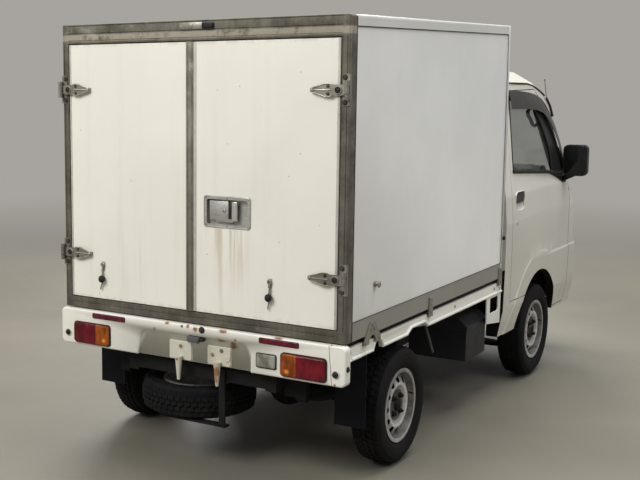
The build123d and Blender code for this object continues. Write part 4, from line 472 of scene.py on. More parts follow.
# a lighter copy of the hinges' metal for raised ribs: painted highlight, with some rubbing
rubbed_highlight_metal = metal("rubbed_highlight_metal", (0.46, 0.44, 0.38), (0.27, 0.25, 0.21), 0.38, 0.8)
strip_metal = metal("strip_metal", (0.3, 0.285, 0.24), (0.17, 0.16, 0.13), 0.45, 0.8, brushed=(1, 1, 0.05))
seat_cloth = woven("seat_cloth", (0.13, 0.13, 0.145), (0.045, 0.045, 0.055))
seat_vinyl = moulded("seat_vinyl", (0.04, 0.04, 0.045), 0.5, 600.0, 0.1, 0.0003)

# Meshes


def around(steps):
    """Cosine and sine of equal steps round a circle."""
    turns = [2 * math.pi * k / steps for k in range(steps)]
    return [(math.cos(t), math.sin(t)) for t in turns]


def put(name, data):
    """A new object in the scene."""
    made = bpy.data.objects.new(name, data)
    bpy.context.scene.collection.objects.link(made)
    return made


def keep(name, mesh, body, coat, angle=38):
    """One finished piece at the origin that rides on a body; its coat is a slot, which is not used, and its
    finishes.
    """
    slot_name, *finishes = coat
    for finish in finishes:
        mesh.materials.append(finish)
    mesh.shade_smooth()
    mesh.set_sharp_from_angle(angle=math.radians(angle))
    piece = put(name, mesh)
    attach(piece, body)
    return piece


def freeze(piece):
    """Turns what the modifiers give into the piece's own mesh."""
    evaluated = piece.evaluated_get(bpy.context.evaluated_depsgraph_get())
    mesh = bpy.data.meshes.new_from_object(evaluated)
    piece.modifiers.clear()
    piece.data = mesh


class Stock:
    """The faces of one piece, collected before it becomes an object."""

    def __init__(self):
        self.mesh = bmesh.new()
        self.material = 0

    def block(self, one, two, edge=0.001):
        """A box between two opposite corners, its edges broken."""
        low, high = (Vector([pick(pair) for pair in zip(one, two)]) for pick in (min, max))
        before = set(self.mesh.faces)
        corners = bmesh.ops.create_cube(self.mesh, size=1)["verts"]
        for vert in corners:
            vert.co = [a + (share + 0.5) * (b - a) for a, b, share in zip(low, high, vert.co)]
        edges = list(dict.fromkeys(e for v in corners for e in v.link_edges))
        bmesh.ops.bevel(self.mesh, geom=edges, offset=edge, segments=2, profile=0.5, affect="EDGES")
        for face in set(self.mesh.faces) - before:
            face.material_index = self.material
        return self

    def rings(self, rings, closed=False):
        """Skin over rows of points, with a flat face at each end unless the rows join up."""
        rows = [[self.mesh.verts.new(p) for p in ring] for ring in rings]
        pairs = list(zip(rows, rows[1:])) + ([(rows[-1], rows[0])] if closed else [])
        for one, two in pairs:
            for i in range(len(one)):
                j = (i + 1) % len(one)
                self.face((one[i], one[j], two[j], two[i]))
        if not closed:
            self.face(rows[0])
            self.face(rows[-1][::-1])
        return self

    def face(self, verts):
        self.mesh.faces.new(verts).material_index = self.material

    def lathe(self, start, direction, rows, steps=20):
        """Turned shape on an axis: rows are (distance along, radius)."""
        direction = Vector(direction).normalized()
        side = direction.orthogonal().normalized()
        other = direction.cross(side)
        rings = []
        for along, radius in rows:
            middle = Vector(start) + direction * along
            rings.append([middle + (side * c + other * s) * radius for c, s in around(steps)])
        return self.rings(rings)

    def tube(self, points, radius, steps=10, closed=False):
        """Round bar that follows points."""
        rings = []
        side = None
        for i, point in enumerate(points):
            after = points[(i + 1) % len(points)] if closed or i + 1 < len(points) else point
            before = points[i - 1] if closed or i > 0 else point
            forward = (after - before).normalized()
            side = forward.orthogonal() if side is None else side - forward * side.dot(forward)
            side.normalize()
            other = forward.cross(side)
            rings.append([point + (side * c + other * s) * radius for c, s in around(steps)])
        return self.rings(rings, closed)

    def plate(self, outline, thickness):
        """Flat outline of points, given a thickness vector."""
        return self.rings([outline, [p + Vector(thickness) for p in outline]])

    def done(self, name):
        """What was collected, as a mesh whose faces look outward."""
        bmesh.ops.recalc_face_normals(self.mesh, faces=self.mesh.faces)
        mesh = bpy.data.meshes.new(name)
        self.mesh.to_mesh(mesh)
        self.mesh.free()
        return mesh

    def piece(self, name, body, coat, angle=38):
        bmesh.ops.remove_doubles(self.mesh, verts=self.mesh.verts, dist=1e-6)
        return keep(name, self.done(name), body, coat, angle)


def slabs(name, body, coat, *boxes):
    """A piece made of blocks: two corners each, and the width of the broken edges."""
    stock = Stock()
    for box in boxes:
        stock.block(*box)
    stock.piece(name, body, coat)


def rounded(middle, width, height, corner, steps=5, along=Y_AXIS):
    """Points of an upright rounded rectangle about a middle."""
    corner = min(corner, width / 2 - 1e-5, height / 2 - 1e-5)
    points = []
    for quarter, (a, b) in enumerate(((1, 1), (-1, 1), (-1, -1), (1, -1))):
        for k in range(steps + 1):
            turn = math.pi / 2 * (quarter + k / steps)
            u = a * (width / 2 - corner) + corner * math.cos(turn)
            v = b * (height / 2 - corner) + corner * math.sin(turn)
            points.append(middle + along * u + Z_AXIS * v)
    return points


def skin(node, finishes, edge=0.0, zones=(), angle=38):
    """A CAD node's own surface, merged, with broken edges. A zone paints faces that pass its test."""
    mesh = bmesh.new()
    mesh.from_mesh(frame["nodes"][node].data)
    bmesh.ops.remove_doubles(mesh, verts=mesh.verts, dist=2e-5)
    bmesh.ops.dissolve_degenerate(mesh, edges=mesh.edges, dist=1e-6)
    if edge:
        bmesh.ops.dissolve_limit(mesh, angle_limit=0.002, verts=mesh.verts, edges=mesh.edges)
    for face in mesh.faces:
        face.material_index = 0
        for index, test in zones:
            if test(face.calc_center_median(), face.normal):
                face.material_index = index
    data = bpy.data.meshes.new(node + "_shown")
    mesh.to_mesh(data)
    mesh.free()
    piece = keep(node + "_shown", data, BODY_OF[node], (SLOT_OF[node], *finishes), angle)
    if edge:
        bevel = piece.modifiers.new("broken_edges", "BEVEL")
        bevel.width = edge
        bevel.segments = 2
        bevel.limit_method = "ANGLE"
        bevel.angle_limit = math.radians(40)
        bevel.harden_normals = True
        freeze(piece)
    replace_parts(piece, node)
    return piece


def even(piece, creases=()):
    """Weights the normals by face area, so that long thin faces don't blotch the flat ones beside them.

    The pressed lines of the flanks, which are too shallow for the angle, are kept at the given heights.
    """
    points = piece.data.vertices
    for edge in piece.data.edges:
        one, two = (points[k].co for k in edge.vertices)
        on_flank = min(abs(one.y), abs(two.y)) > 0.705
        for height in creases:
            if on_flank and max(abs(one.z - height), abs(two.z - height)) < 0.0008:
                edge.use_edge_sharp = True
    weighted = piece.modifiers.new("even", "WEIGHTED_NORMAL")
    weighted.keep_sharp = True
    freeze(piece)


def carve(piece, pockets, finish):
    """Cuts pockets out of a piece, their walls in their own finish."""
    stock = Stock()
    stock.material = len(piece.data.materials)
    for rings in pockets:
        stock.rings(rings)
    tool = put("pocket", stock.done("pocket"))
    piece.data.materials.append(finish)
    for known in piece.data.materials:
        tool.data.materials.append(known)
    cut = piece.modifiers.new("pocket", "BOOLEAN")
    cut.operation = "DIFFERENCE"
    cut.object = tool
    freeze(piece)
    bpy.data.objects.remove(tool)


# Geometry trees


class Tree:
    """A geometry node tree with named inputs and a finish, for parts that repeat."""

    def __init__(self, name, **inputs):
        self.tree = bpy.data.node_groups.new(name, "GeometryNodeTree")
        self.keys = {}
        labels = {"Geometry": "Geometry", **inputs, "Material": "Material"}
        for label, kind in labels.items():
            made = self.tree.interface.new_socket(label, in_out="INPUT", socket_type="NodeSocket" + kind)
            self.keys[label] = made.identifier
        self.tree.interface.new_socket("Geometry", in_out="OUTPUT", socket_type="NodeSocketGeometry")
        self.start = self.tree.nodes.new("NodeGroupInput")
        self.end = self.tree.nodes.new("NodeGroupOutput")

    def add(self, kind, sockets=None, **settings):
        """A node's first output. A name as a socket's value stands for the tree's input."""
        made = self.tree.nodes.new(kind if "Node" in kind else "GeometryNode" + kind)
        for key, value in settings.items():
            setattr(made, key, value)
        for key, values in (sockets or {}).items():
            for value in values if isinstance(values, list) else [values]:
                if isinstance(value, str):
                    value = self.start.outputs[value]
                if isinstance(value, bpy.types.NodeSocket):
                    self.tree.links.new(value, made.inputs[key])
                else:
                    made.inputs[key].default_value = value
        return made.outputs[0]

    def close(self, geometry):
        real = self.add("RealizeInstances", {0: geometry})
        done = self.add("SetMaterial", {"Geometry": real, "Material": "Material"})
        self.tree.links.new(done, self.end.inputs[0])
        return self

    def grow(self, mesh, **values):
        """The plain mesh that the tree makes from a mesh."""
        holder = put("seed", mesh)
        modifier = holder.modifiers.new("tree", "NODES")
        modifier.node_group = self.tree
        for label, value in values.items():
            modifier[self.keys[label]] = value
        evaluated = holder.evaluated_get(bpy.context.evaluated_depsgraph_get())
        made = bpy.data.meshes.new_from_object(evaluated)
        bpy.data.objects.remove(holder)
        return made

    def run(self, name, mesh, body, coat, **values):
        slot_name, finish = coat
        keep(name, self.grow(mesh, Material=finish, **values), body, (slot_name,))


def heads_tree():
    """Bolt or screw heads with a washer on points, all facing one way."""
    t = Tree("heads", Radius="Float", Height="Float", Corners="Int", Crown="Float", Facing="Vector")
    shank = t.add("MeshCylinder", {"Vertices": "Corners", "Radius": "Radius", "Depth": "Height"})
    cone = {"Vertices": "Corners", "Radius Top": "Crown", "Radius Bottom": "Radius", "Depth": "Crown"}
    half = t.add("ShaderNodeMath", {0: "Height", 1: 0.5}, operation="MULTIPLY")
    lift = t.add("ShaderNodeCombineXYZ", {"Z": half})
    top = t.add("Transform", {"Geometry": t.add("MeshCone", cone), "Translation": lift})
    wide = t.add("ShaderNodeMath", {0: "Radius", 1: 1.45}, operation="MULTIPLY")
    washer = t.add("MeshCylinder", {"Vertices": 20, "Depth": 0.0012, "Radius": wide})
    head = t.add("JoinGeometry", {0: [shank, top, washer]})
    turn = t.add("FunctionNodeAlignRotationToVector", {"Vector": "Facing"}, axis="Z")
    return t.close(t.add("InstanceOnPoints", {"Points": "Geometry", "Instance": head, "Rotation": turn}))


def bead_tree():
    """Round bead that follows the edges of a mesh."""
    t = Tree("bead", Radius="Float", Corners="Int")
    path = t.add("MeshToCurve", {0: "Geometry"})
    profile = t.add("CurvePrimitiveCircle", {"Resolution": "Corners", "Radius": "Radius"})
    return t.close(t.add("CurveToMesh", {"Curve": path, "Profile Curve": profile, "Fill Caps": True}))


def bars_tree():
    """A row of equal bars, from a point along a step."""
    t = Tree("bars", Count="Int", Step="Vector", Start="Vector", Size="Vector")
    line = t.add("MeshLine", {"Count": "Count", "Start Location": "Start", "Offset": "Step"})
    bar = t.add("MeshCube", {"Size": "Size"})
    return t.close(t.add("InstanceOnPoints", {"Points": line, "Instance": bar}))


def lugs_tree():
    """Tread blocks in a ring about y, each on its own row and turned with the ring."""
    t = Tree(
        "lugs", Count="Int", Radius="Float", Offset="Vector", Phase="Float", Skew="Float", Size="Vector",
    )
    ring = t.add("MeshCircle", {"Vertices": "Count", "Radius": "Radius"})
    upright = t.add("Transform", {"Geometry": ring, "Rotation": (math.pi / 2, 0, 0)})
    phase = t.add("ShaderNodeCombineXYZ", {"Y": "Phase"})
    turned = t.add("Transform", {"Geometry": upright, "Rotation": phase})
    block = t.add("MeshCube", {"Size": "Size"})
    skew = t.add("ShaderNodeCombineXYZ", {"Z": "Skew"})
    skewed = t.add("Transform", {"Geometry": block, "Rotation": skew})
    align = "FunctionNodeAlignRotationToVector"
    first = t.add(align, {"Vector": (0, 1, 0)}, axis="Y")
    outward = {"Rotation": first, "Vector": t.add("InputPosition")}
    second = t.add(align, outward, axis="Z", pivot_axis="Y")
    placed = t.add("InstanceOnPoints", {"Points": turned, "Instance": skewed, "Rotation": second})
    return t.close(t.add("Transform", {"Geometry": placed, "Translation": "Offset"}))


heads = heads_tree()
bead = bead_tree()
bars = bars_tree()
lugs = lugs_tree()


def wire(points, edges):
    """Mesh of loose points or of edges between them, for a tree to grow on."""
    mesh = bpy.data.meshes.new("seed")
    mesh.from_pydata([tuple(p) for p in points], edges, [])
    return mesh


def bolts(name, body, coat, points, way, radius, height, corners=6, crown=0.0015):
    """Bolt heads on points, facing one way."""
    heads.run(
        name, wire(points, []), body, coat, Radius=radius, Height=height * 2, Corners=corners,
        Crown=crown, Facing=way,
    )


def trail(name, body, coat, points, radius, closed=False, corners=8):
    """Bead along points."""
    count = len(points)
    edges = [(i, (i + 1) % count) for i in range(count if closed else count - 1)]
    bead.run(name, wire(points, edges), body, coat, Radius=radius, Corners=corners)


def slats(name, coat, count, start, step, size):
    """A row of bars."""
    seed = bpy.data.meshes.new("seed")
    bars.run(name, seed, "chassis", coat, Count=count, Start=start, Step=step, Size=size)


# CAD surfaces that stay

REAR_FACE = bed(-0.607, 0, 0).x
BED_FACE = bed(-0.628, 0, 0).x
# x from the front axle and z of the door handles' middle
HANDLE = (-0.366, 1.048)


def side_y(z):
    """How far from the middle the cab's side is at a height."""
    step = 0.009 * min(max((z - CREASES[0]) / 0.135, 0), 1)
    return 0.7315 - step - 0.12552 * max(z - CREASES[1], 0)


# Tests for the zones of a skin, each of a face's middle and the way that it faces


def is_inside(point, normal):
    return normal.y * point.y < -0.001 or normal.z < -0.9


def on_door_face(point, normal):
    return normal.x < -0.9 and abs(point.x - REAR_FACE) < 0.001


def behind_door_face(point, _):
    return point.x < REAR_FACE - 0.0005


def on_side_rail(point, _):
    return point.z < 0.7465


# the barrel behind a rim's disc, which is painted black as painted shade
def behind_disc(point, _):
    return abs(point.y) < 0.676


def under_floor(point, normal):
    return normal.z < -0.3 or (abs(normal.x) > 0.7 and point.z < 0.62)


def faces_inboard(point, normal):
    return is_inside(point, normal) and normal.y * point.y < -0.3 * abs(point.y)


def in_arch(point, normal):
    """Faces of the front wheel housings, which look at the axle or lie inboard of the skin."""
    way = Vector((FRONT_AXLE - point.x, 0, WHEEL_HEIGHT - point.z))
    return way.length < 0.5 and (normal.dot(way.normalized()) > 0.16 or abs(point.y) < 0.66)


def below_bed(point, normal):
    faces_back = normal.x < -0.7 and point.z < 0.63 and abs(point.y) < 0.7
    return faces_back or (normal.z < -0.7 and point.z < 0.55)


# node, its finish, width of its broken edges
PLAIN_SKINS = (
    ("battery_box", battery_plastic, 0.003),
    ("box_brackets", bracket_paint, 0.001),
    ("box_floor", floor_board, 0.001),
    ("box_frame", aluminium, 0.0012),
    ("box_front", side_paint, 0.0),
    ("box_hinges", hinge_metal, 0.0008),
    ("box_roof", roof_paint, 0.0),
    ("dashboard", dash_plastic, 0.003),
    ("door_latch", latch_metal, 0.0008),
    ("drive_shaft", chassis_paint, 0.0),
    ("engine", iron, 0.006),
    ("exhaust", exhaust_metal, 0.0),
    ("frame_rails", chassis_paint, 0.002),
    ("front_suspension", chassis_paint, 0.0),
    ("fuel_tank", chassis_paint, 0.012),
    ("knuckle_left", iron, 0.0),
    ("knuckle_right", iron, 0.0),
    ("lamp_panel", bed_paint, 0.0),
    ("leaf_springs", chassis_paint, 0.001),
    ("load_bed", bed_paint, 0.0015),
    ("mirror_left", black_plastic, 0.0),
    ("mirror_right", black_plastic, 0.0),
    ("mudflaps", flap_rubber, 0.001),
    ("rear_axle", chassis_paint, 0.0),
    ("rear_hooks", hook_metal, 0.001),
    ("spare_carrier", chassis_paint, 0.001),
    ("spare_rim", rim_paint, 0.0),
    ("steering_wheel", dash_plastic, 0.0),
    ("cab_glass", window_glass, 0.0),
    ("door_glass_left", window_glass, 0.0),
    ("door_glass_right", window_glass, 0.0),
    ("headlamps", clear_glass, 0.0),
)
for node, finish, edge in PLAIN_SKINS:
    skin(node, [finish], edge)

# Rims, each with a ring of hand holes cut through its disc; the barrel behind the disc and the holes' walls
# take the chassis black as painted shade
HAND_HOLES = 12
HOLE_RING = 0.118
HOLE_RADIUS = 0.0155
for axle, axle_x in AXLES:
    for side, sign in SIDES:
        rim = skin(f"rim_{axle}_{side}", [rim_paint, chassis_paint], zones=[(1, behind_disc)])
        holes = []
        for c, s in around(HAND_HOLES):
            middle = Vector((axle_x + HOLE_RING * c, 0, WHEEL_HEIGHT + HOLE_RING * s))
            ends = [middle + Y_AXIS * sign * y for y in (0.669, 0.709)]
            holes.append([[end + Vector((a, 0, b)) * HOLE_RADIUS for a, b in around(20)] for end in ends])
        carve(rim, holes, chassis_paint)
skin("cab_floor", [inner_paint, chassis_paint], zones=[(1, under_floor)])
even(skin("cab_roof", [cab_paint], angle=14))
even(skin("front_bumper", [cab_paint], angle=14))
cab_zones = [(1, is_inside), (2, in_arch), (2, below_bed)]
even(skin("cab_body", [cab_paint, inner_paint, chassis_paint], zones=cab_zones, angle=14), CREASES)
for side, sign in SIDES:
    finishes = [cab_paint, dash_plastic, chassis_paint]
    door = skin(f"cab_door_{side}", finishes, zones=[(1, faces_inboard), (2, in_arch)], angle=14)
    pocket = []
    for shrink, out in ((0.0, 0.02), (0.0, -0.008), (0.006, -0.016), (0.02, -0.019)):
        centre = cab(HANDLE[0], sign * (side_y(HANDLE[1]) + out), HANDLE[1])
        size = (0.146 - 2 * shrink, 0.1 - 2 * shrink, 0.03 - shrink / 2)
        pocket.append(rounded(centre, *size, along=X_AXIS))
    carve(door, [pocket], cab_paint)
    even(door)
    skin(
        f"box_door_{side}", [side_paint, door_paint, hinge_metal], 0.001,
        [(1, on_door_face), (2, behind_door_face)],
    )
    skin(f"box_side_{side}", [side_paint, rail_paint], 0.0012, [(1, on_side_rail)])

# Van box

# the slot and the finish that small pieces share
SEAL = ("flap_rubber", seal_rubber)
BOLT = ("hinge_steel", bolt_metal)
IRON = ("hinge_steel", iron)
DARK_IRON = ("hinge_steel", dark_iron)
HINGE = ("hinge_steel", hinge_metal)
ZINC = ("latch_zinc", latch_metal)
HOOK = ("hook_steel", hook_metal)
BLACK = ("chassis_black", chassis_paint)
PLASTIC = ("black_plastic", black_plastic)
DASH = ("dash_plastic", dash_plastic)

BOX_FACE = 0.7255
SEAM = 0.0018
# x and z of each seam's low and high end
SEAMS = (
    ((-0.553, 1.9315), (1.238, 1.9355)),
    ((1.2365, 0.747), (1.2395, 1.933)),
    ((-0.553, 0.7445), (1.238, 0.747)),
    ((-0.5535, 0.668), (-0.5505, 1.972)),
)
for side, sign in SIDES:
    inner, outer = sign * BOX_FACE, sign * (BOX_FACE + SEAM)
    lines = [(bed(a, inner, b), bed(c, outer, d), 0.0004) for (a, b), (c, d) in SEAMS]
    slabs(f"side_seams_{side}", "chassis", SEAL, *lines)

# The rail along each eave is rolled: a round bead on the roof's outer edge
for side, sign in SIDES:
    points = [bed(x, sign * 0.7185, 1.9725) for x in (-0.55, 0.3, 1.275)]
    trail(f"eave_bead_{side}", "chassis", ("box_side_white", side_paint), points, 0.0072, corners=16)

# Where the doors meet: a ribbed strip and its seal, the frame's seal and the doors' bindings
slabs(
    "door_edge_strip", "box_door_left", ("box_aluminium", strip_metal),
    (bed(-0.6105, 0.004, 0.719), bed(-0.6065, 0.039, 1.891)),
    (bed(-0.6125, 0.0088, 0.719), bed(-0.6095, 0.0132, 1.891), 0.0006),
    (bed(-0.6125, 0.0298, 0.719), bed(-0.6095, 0.0342, 1.891), 0.0006),
)
slabs(
    "door_edge_seal", "box_door_right", ("flap_rubber", pale_seal),
    (bed(-0.6095, -0.0125, 0.722), bed(-0.6062, 0.0012, 1.888), 0.0012),
)
OPENING = ((0.685, 0.7195), (0.685, 1.8905), (-0.685, 1.8905), (-0.685, 0.7195))
line = [bed(-0.601, y, z) for y, z in OPENING]
trail("door_frame_seal", "chassis", SEAL, line, 0.0019, closed=True)
for side, sign in SIDES:
    slabs(
        f"door_binding_{side}", f"box_door_{side}", ("box_aluminium", pale_seal),
        (bed(-0.6088, sign * 0.673, 0.7225), bed(-0.6065, sign * 0.6815, 1.8875), 0.0007),
    )

# Plate and stop at the top of the door opening
slabs(
    "header_plate", "chassis", HINGE,
    (bed(-0.6125, -0.045, 1.941), bed(-0.6065, 0.072, 1.971), 0.0015),
    (bed(-0.6155, 0.006, 1.946), bed(-0.6115, 0.024, 1.966)),
)
slabs("header_stop", "chassis", SEAL, (bed(-0.6225, -0.1, 1.943), bed(-0.6065, -0.047, 1.969), 0.004))
screws = [bed(-0.6125, y, 1.956) for y in (-0.036, 0.062)]
bolts("header_screws", "chassis", BOLT, screws, -X_AXIS, 0.0042, 0.0012, 20)

# Hinges: a pressed strap with raised edges and a middle rib, two rivets and a plugged screw
# hole on the door, dark bolts on the post plate
HINGE_FACE = -0.621
# distance from the middle of the truck and half height of the strap there
STRAP_SHAPE = (
    (0.5605, 0.003), (0.564, 0.0075), (0.575, 0.0105), (0.6, 0.0175), (0.622, 0.025), (0.646, 0.0255),
    (0.654, 0.0215), (0.7, 0.0215), (0.709, 0.0185),
)
STRAP_END = [(0.0, 0.002), (0.0015, 0.0072), (0.004, 0.0078), (0.0065, 0.0058), (0.008, 0.002)]
PLUG_COLLAR = [(0.0, 0.0172), (0.0035, 0.0172), (0.0048, 0.0156), (0.0048, 0.0138), (0.0014, 0.0132)]
PLUG = [(0.0, 0.0132), (0.0028, 0.0132), (0.0044, 0.0112), (0.005, 0.004)]
for side, sign in SIDES:
    door = f"box_door_{side}"
    for level, z in (("low", 0.928), ("high", 1.686)):
        upper, lower = ([bed(HINGE_FACE, sign * y, z + up * h) for y, h in STRAP_SHAPE] for up in (1, -1))
        strap = Stock().plate([p + X_AXIS * 0.0012 for p in upper + lower[::-1]], (-0.0026, 0, 0))
        strap.piece(f"hinge_strap_{level}_{side}", door, HINGE)
        # the raised edges, rib, end and plug collar in the lighter metal: painted highlight on the raised
        # parts, partly rubbed bright
        ribs = Stock()
        for edge in (upper, lower):
            ribs.tube([p - X_AXIS * 0.0018 for p in edge[1:7]], 0.0024, 8)
        ribs.tube([bed(HINGE_FACE - 0.0018, sign * y, z) for y in (0.57, 0.6, 0.648)], 0.0034, 8)
        ribs.lathe(bed(HINGE_FACE, sign * 0.5675, z), -X_AXIS, STRAP_END)
        hole = bed(HINGE_FACE - 0.001, sign * 0.681, z)
        ribs.lathe(hole, -X_AXIS, PLUG_COLLAR, 24)
        ribs.piece(f"hinge_ribs_{level}_{side}", door, ("hinge_steel", rubbed_highlight_metal))
        Stock().lathe(hole, -X_AXIS, PLUG).piece(f"hinge_plug_{level}_{side}", door, SEAL)
        rivets = [bed(HINGE_FACE - 0.0014, sign * 0.637, z + h) for h in (-0.0155, 0.0155)]
        bolts(f"hinge_rivets_{level}_{side}", door, IRON, rivets, -X_AXIS, 0.0052, 0.003, 16, 0.0022)
        posts = [bed(-0.611, sign * 0.7055, z + h) for h in (-0.049, 0.049)]
        bolts(f"hinge_bolts_{level}_{side}", "chassis", IRON, posts, -X_AXIS, 0.0082, 0.0042, 6, 0.001)

# Latch: lock pad, dark slot and pull bar in the pocket, six screws in the frame
door = "box_door_right"
pad = Stock().block(bed(-0.6055, -0.173, 1.133), bed(-0.5985, -0.079, 1.2145), 0.0015)
pad.lathe(bed(-0.6055, -0.152, 1.174), -X_AXIS, [(0, 0.0085), (0.0022, 0.0085), (0.003, 0.007)], 24)
pad.lathe(bed(-0.6055, -0.152, 1.199), -X_AXIS, [(0, 0.003), (0.0012, 0.0026)], 12)
pad.piece("latch_pad", door, ZINC)
slabs(
    "latch_slot", door, SEAL,
    (bed(-0.607, -0.1905, 1.14), bed(-0.603, -0.1735, 1.2075), 0.0008),
    (bed(-0.6092, -0.1532, 1.17), bed(-0.6082, -0.1508, 1.178), 0.0002),
)
pull = (bed(-0.6108, -0.2175, 1.132), bed(-0.6, -0.192, 1.2145), 0.0022)
slabs("latch_pull", door, ("latch_zinc", bright_metal), pull)
screws = [bed(-0.61, y, z) for y in (-0.0625, -0.1685, -0.2745) for z in (1.109, 1.228)]
bolts("latch_screws", door, ("latch_zinc", bolt_metal), screws, -X_AXIS, 0.0036, 0.0009, 16, 0.0012)
rim_line = rounded(bed(-0.6103, -0.1685, 1.1685), 0.226, 0.131, 0.012, 4)
trail("latch_edge", door, ZINC, rim_line, 0.0016, closed=True)

# Door stays: an eye on a small plate, a hanging pin and its rubber ball
STAY_BALL = [
    (-0.0165, 0.004), (-0.0135, 0.0105), (-0.005, 0.0152), (0.005, 0.0152), (0.0135, 0.0105),
    (0.0165, 0.004),
]
for side, sign, y, z, end in (("left", 1, 0.497, 0.882, 0.012), ("right", -1, -0.3785, 0.889, 0.005)):
    door = f"box_door_{side}"
    stay = Stock().block(bed(-0.6105, y - 0.009, z - 0.026), bed(-0.6065, y + 0.009, z + 0.014), 0.0012)
    ring = [bed(-0.616, y + 0.0085 * c, z + 0.0085 * s) for c, s in around(16)]
    stay.tube(ring, 0.0026, 8, closed=True)
    pin = [bed(-0.614, y, z - 0.008), bed(-0.6155, y + sign * 0.002, z - 0.03), bed(-0.616, y, z - 0.05)]
    stay.tube(pin, 0.0042, 8)
    stay.tube([bed(-0.6165, y, z - 0.08), bed(-0.6165, y + end, z - 0.116)], 0.0034, 8)
    stay.piece(f"door_stay_{side}", door, BOLT)
    ball = Stock().lathe(bed(-0.6235, y, z - 0.066), Z_AXIS, STAY_BALL)
    ball.piece(f"door_stay_ball_{side}", door, SEAL)

# Side catches and stops for the open doors, and the bolts of the brackets and the bed
CATCH = [
    (0, 0.013), (0.0035, 0.013), (0.0045, 0.008), (0.012, 0.007), (0.0145, 0.0125), (0.02, 0.0135),
    (0.0235, 0.009),
]
STOP = [(0, 0.0085), (0.003, 0.0105), (0.01, 0.0105), (0.013, 0.006)]
BRACKET_BOLTS = [(-0.43, 0.64), (-0.292, 0.64), (-0.361, 0.708), (-0.376, 0.69), (-0.346, 0.69)]
BRACKET_BOLTS += [(x, z) for z in (0.69, 0.712, 0.652) for x in (0.277, 1.23)]
for side, sign in SIDES:
    out = Y_AXIS * sign
    catch = Stock().lathe(bed(-0.336, sign * BOX_FACE, 0.874), out, CATCH, 24)
    catch.piece(f"side_catch_{side}", "chassis", BOLT)
    stop = Stock().lathe(bed(1.262, sign * BOX_FACE, 0.8755), out, STOP)
    stop.piece(f"door_stop_{side}", "chassis", SEAL)
    marks = [bed(x, sign * 0.7325, z) for x, z in BRACKET_BOLTS]
    bolts(f"bracket_bolts_{side}", "chassis", BOLT, marks, out, 0.0062, 0.0022, 6, 0.001)
    studs = [bed(x, sign * 0.7205, 0.618) for x in (0.61, 1.17)]
    bolts(f"bed_side_studs_{side}", "chassis", BOLT, studs, out, 0.0055, 0.002, 12)

# Dark bearers that the box stands on, the rolled hem under each bed rail, and a hanging stay
HEM = [(-0.54, 0.5895), (-0.338, 0.5895)]
for k in range(1, 12):
    turn = k * math.pi / 12
    HEM.append((-0.283 - 0.0505 * math.cos(turn), 0.585 + 0.0505 * math.sin(turn)))
HEM += [(-0.228, 0.5895), (0.024, 0.5895), (0.0725, 0.6135), (0.2275, 0.6135)]
HEM += [(0.267, 0.5895), (1.278, 0.5895)]
for side, sign in SIDES:
    bearer = (bed(-0.56, sign * 0.655, 0.6405), bed(1.255, sign * 0.708, 0.6655), 0.002)
    slabs(f"box_bearer_{side}", "chassis", BLACK, bearer)
    # the hem in the lighter, cleaner white: partly painted highlight
    hem = [bed(x, sign * 0.7195, z) for x, z in HEM]
    trail(f"bed_hem_{side}", "chassis", ("bed_paint", hem_paint), hem, 0.0078, corners=14)
rod = [bed(0.478, -0.62, 0.572), bed(0.493, -0.62, 0.534), bed(0.596, -0.62, 0.38)]
Stock().tube(rod, 0.0065).piece("stay_rod", "chassis", ("chassis_black", grey_plastic))

# Tail of the bed


def crowned(area, corner, rows, grow=0.0, ease=0.7):
    """A rounded block on the lamp panel: rows are how far out, and how far in from its edge."""
    y_low, y_high, z_low, z_high = area
    width, height = y_high - y_low + 2 * grow, z_high - z_low + 2 * grow
    rings = []
    for out, inset in rows:
        centre = Vector((BED_FACE - out, (y_low + y_high) / 2, (z_low + z_high) / 2))
        rings.append(rounded(centre, width - 2 * inset, height - 2 * inset, corner - inset * ease))
    return Stock().rings(rings)


def lens_block(name, area, proud, corner, finishes, split=None):
    """A crowned lens on the lamp panel, in one colour or split into two at a y."""
    rows = ((0.0, 0.0), (proud * 0.72, 0.0006), (proud * 0.93, 0.0028), (proud, 0.0062))
    shape = crowned(area, corner, rows)
    if split is not None:
        geometry = shape.mesh.verts[:] + shape.mesh.edges[:] + shape.mesh.faces[:]
        bmesh.ops.bisect_plane(shape.mesh, geom=geometry, plane_co=(0, split, 0), plane_no=(0, 1, 0))
        for face in shape.mesh.faces:
            face.material_index = int(abs(face.calc_center_median().y) < abs(split))
    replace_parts(shape.piece(name, "chassis", ("lamp_plastic", *finishes), 50), "rear_lamps")


def gasket(name, area, grow, proud, corner):
    """A dark border round a lens."""
    rows = ((0.0, 0.0), (proud * 0.8, 0.0), (proud, 0.001))
    crowned(area, corner, rows, grow, ease=0).piece(name, "chassis", SEAL)


BUFFER = [(0, 0.0125), (0.004, 0.0125), (0.0105, 0.011), (0.0135, 0.006)]
BUFFER_COLLAR = [(-0.004, 0.018), (0.0028, 0.0175), (0.0034, 0.0155), (0.0018, 0.0128)]
for side, sign in SIDES:
    area = (*sorted((sign * 0.447, sign * 0.652)), 0.505, 0.6)
    gasket(f"tail_gasket_{side}", area, 0.0035, 0.008, 0.016)
    lens_block(f"tail_lens_{side}", area, 0.0165, 0.014, [red_lens, amber_lens], sign * 0.521)
    buffers, collars = Stock(), Stock()
    for x, y, z, way in (
        (-0.628, 0.694, 0.5425, (-1, 0, 0)),
        (-0.608, 0.7305, 0.566, (-0.7, 0.7 * sign, 0)),
    ):
        buffers.lathe(bed(x, sign * y, z), way, BUFFER)
        collars.lathe(bed(x, sign * y, z), way, BUFFER_COLLAR, 24)
    buffers.piece(f"tail_buffers_{side}", "chassis", SEAL)
    collars.piece(f"buffer_collars_{side}", "chassis", ("bed_paint", cab_paint))
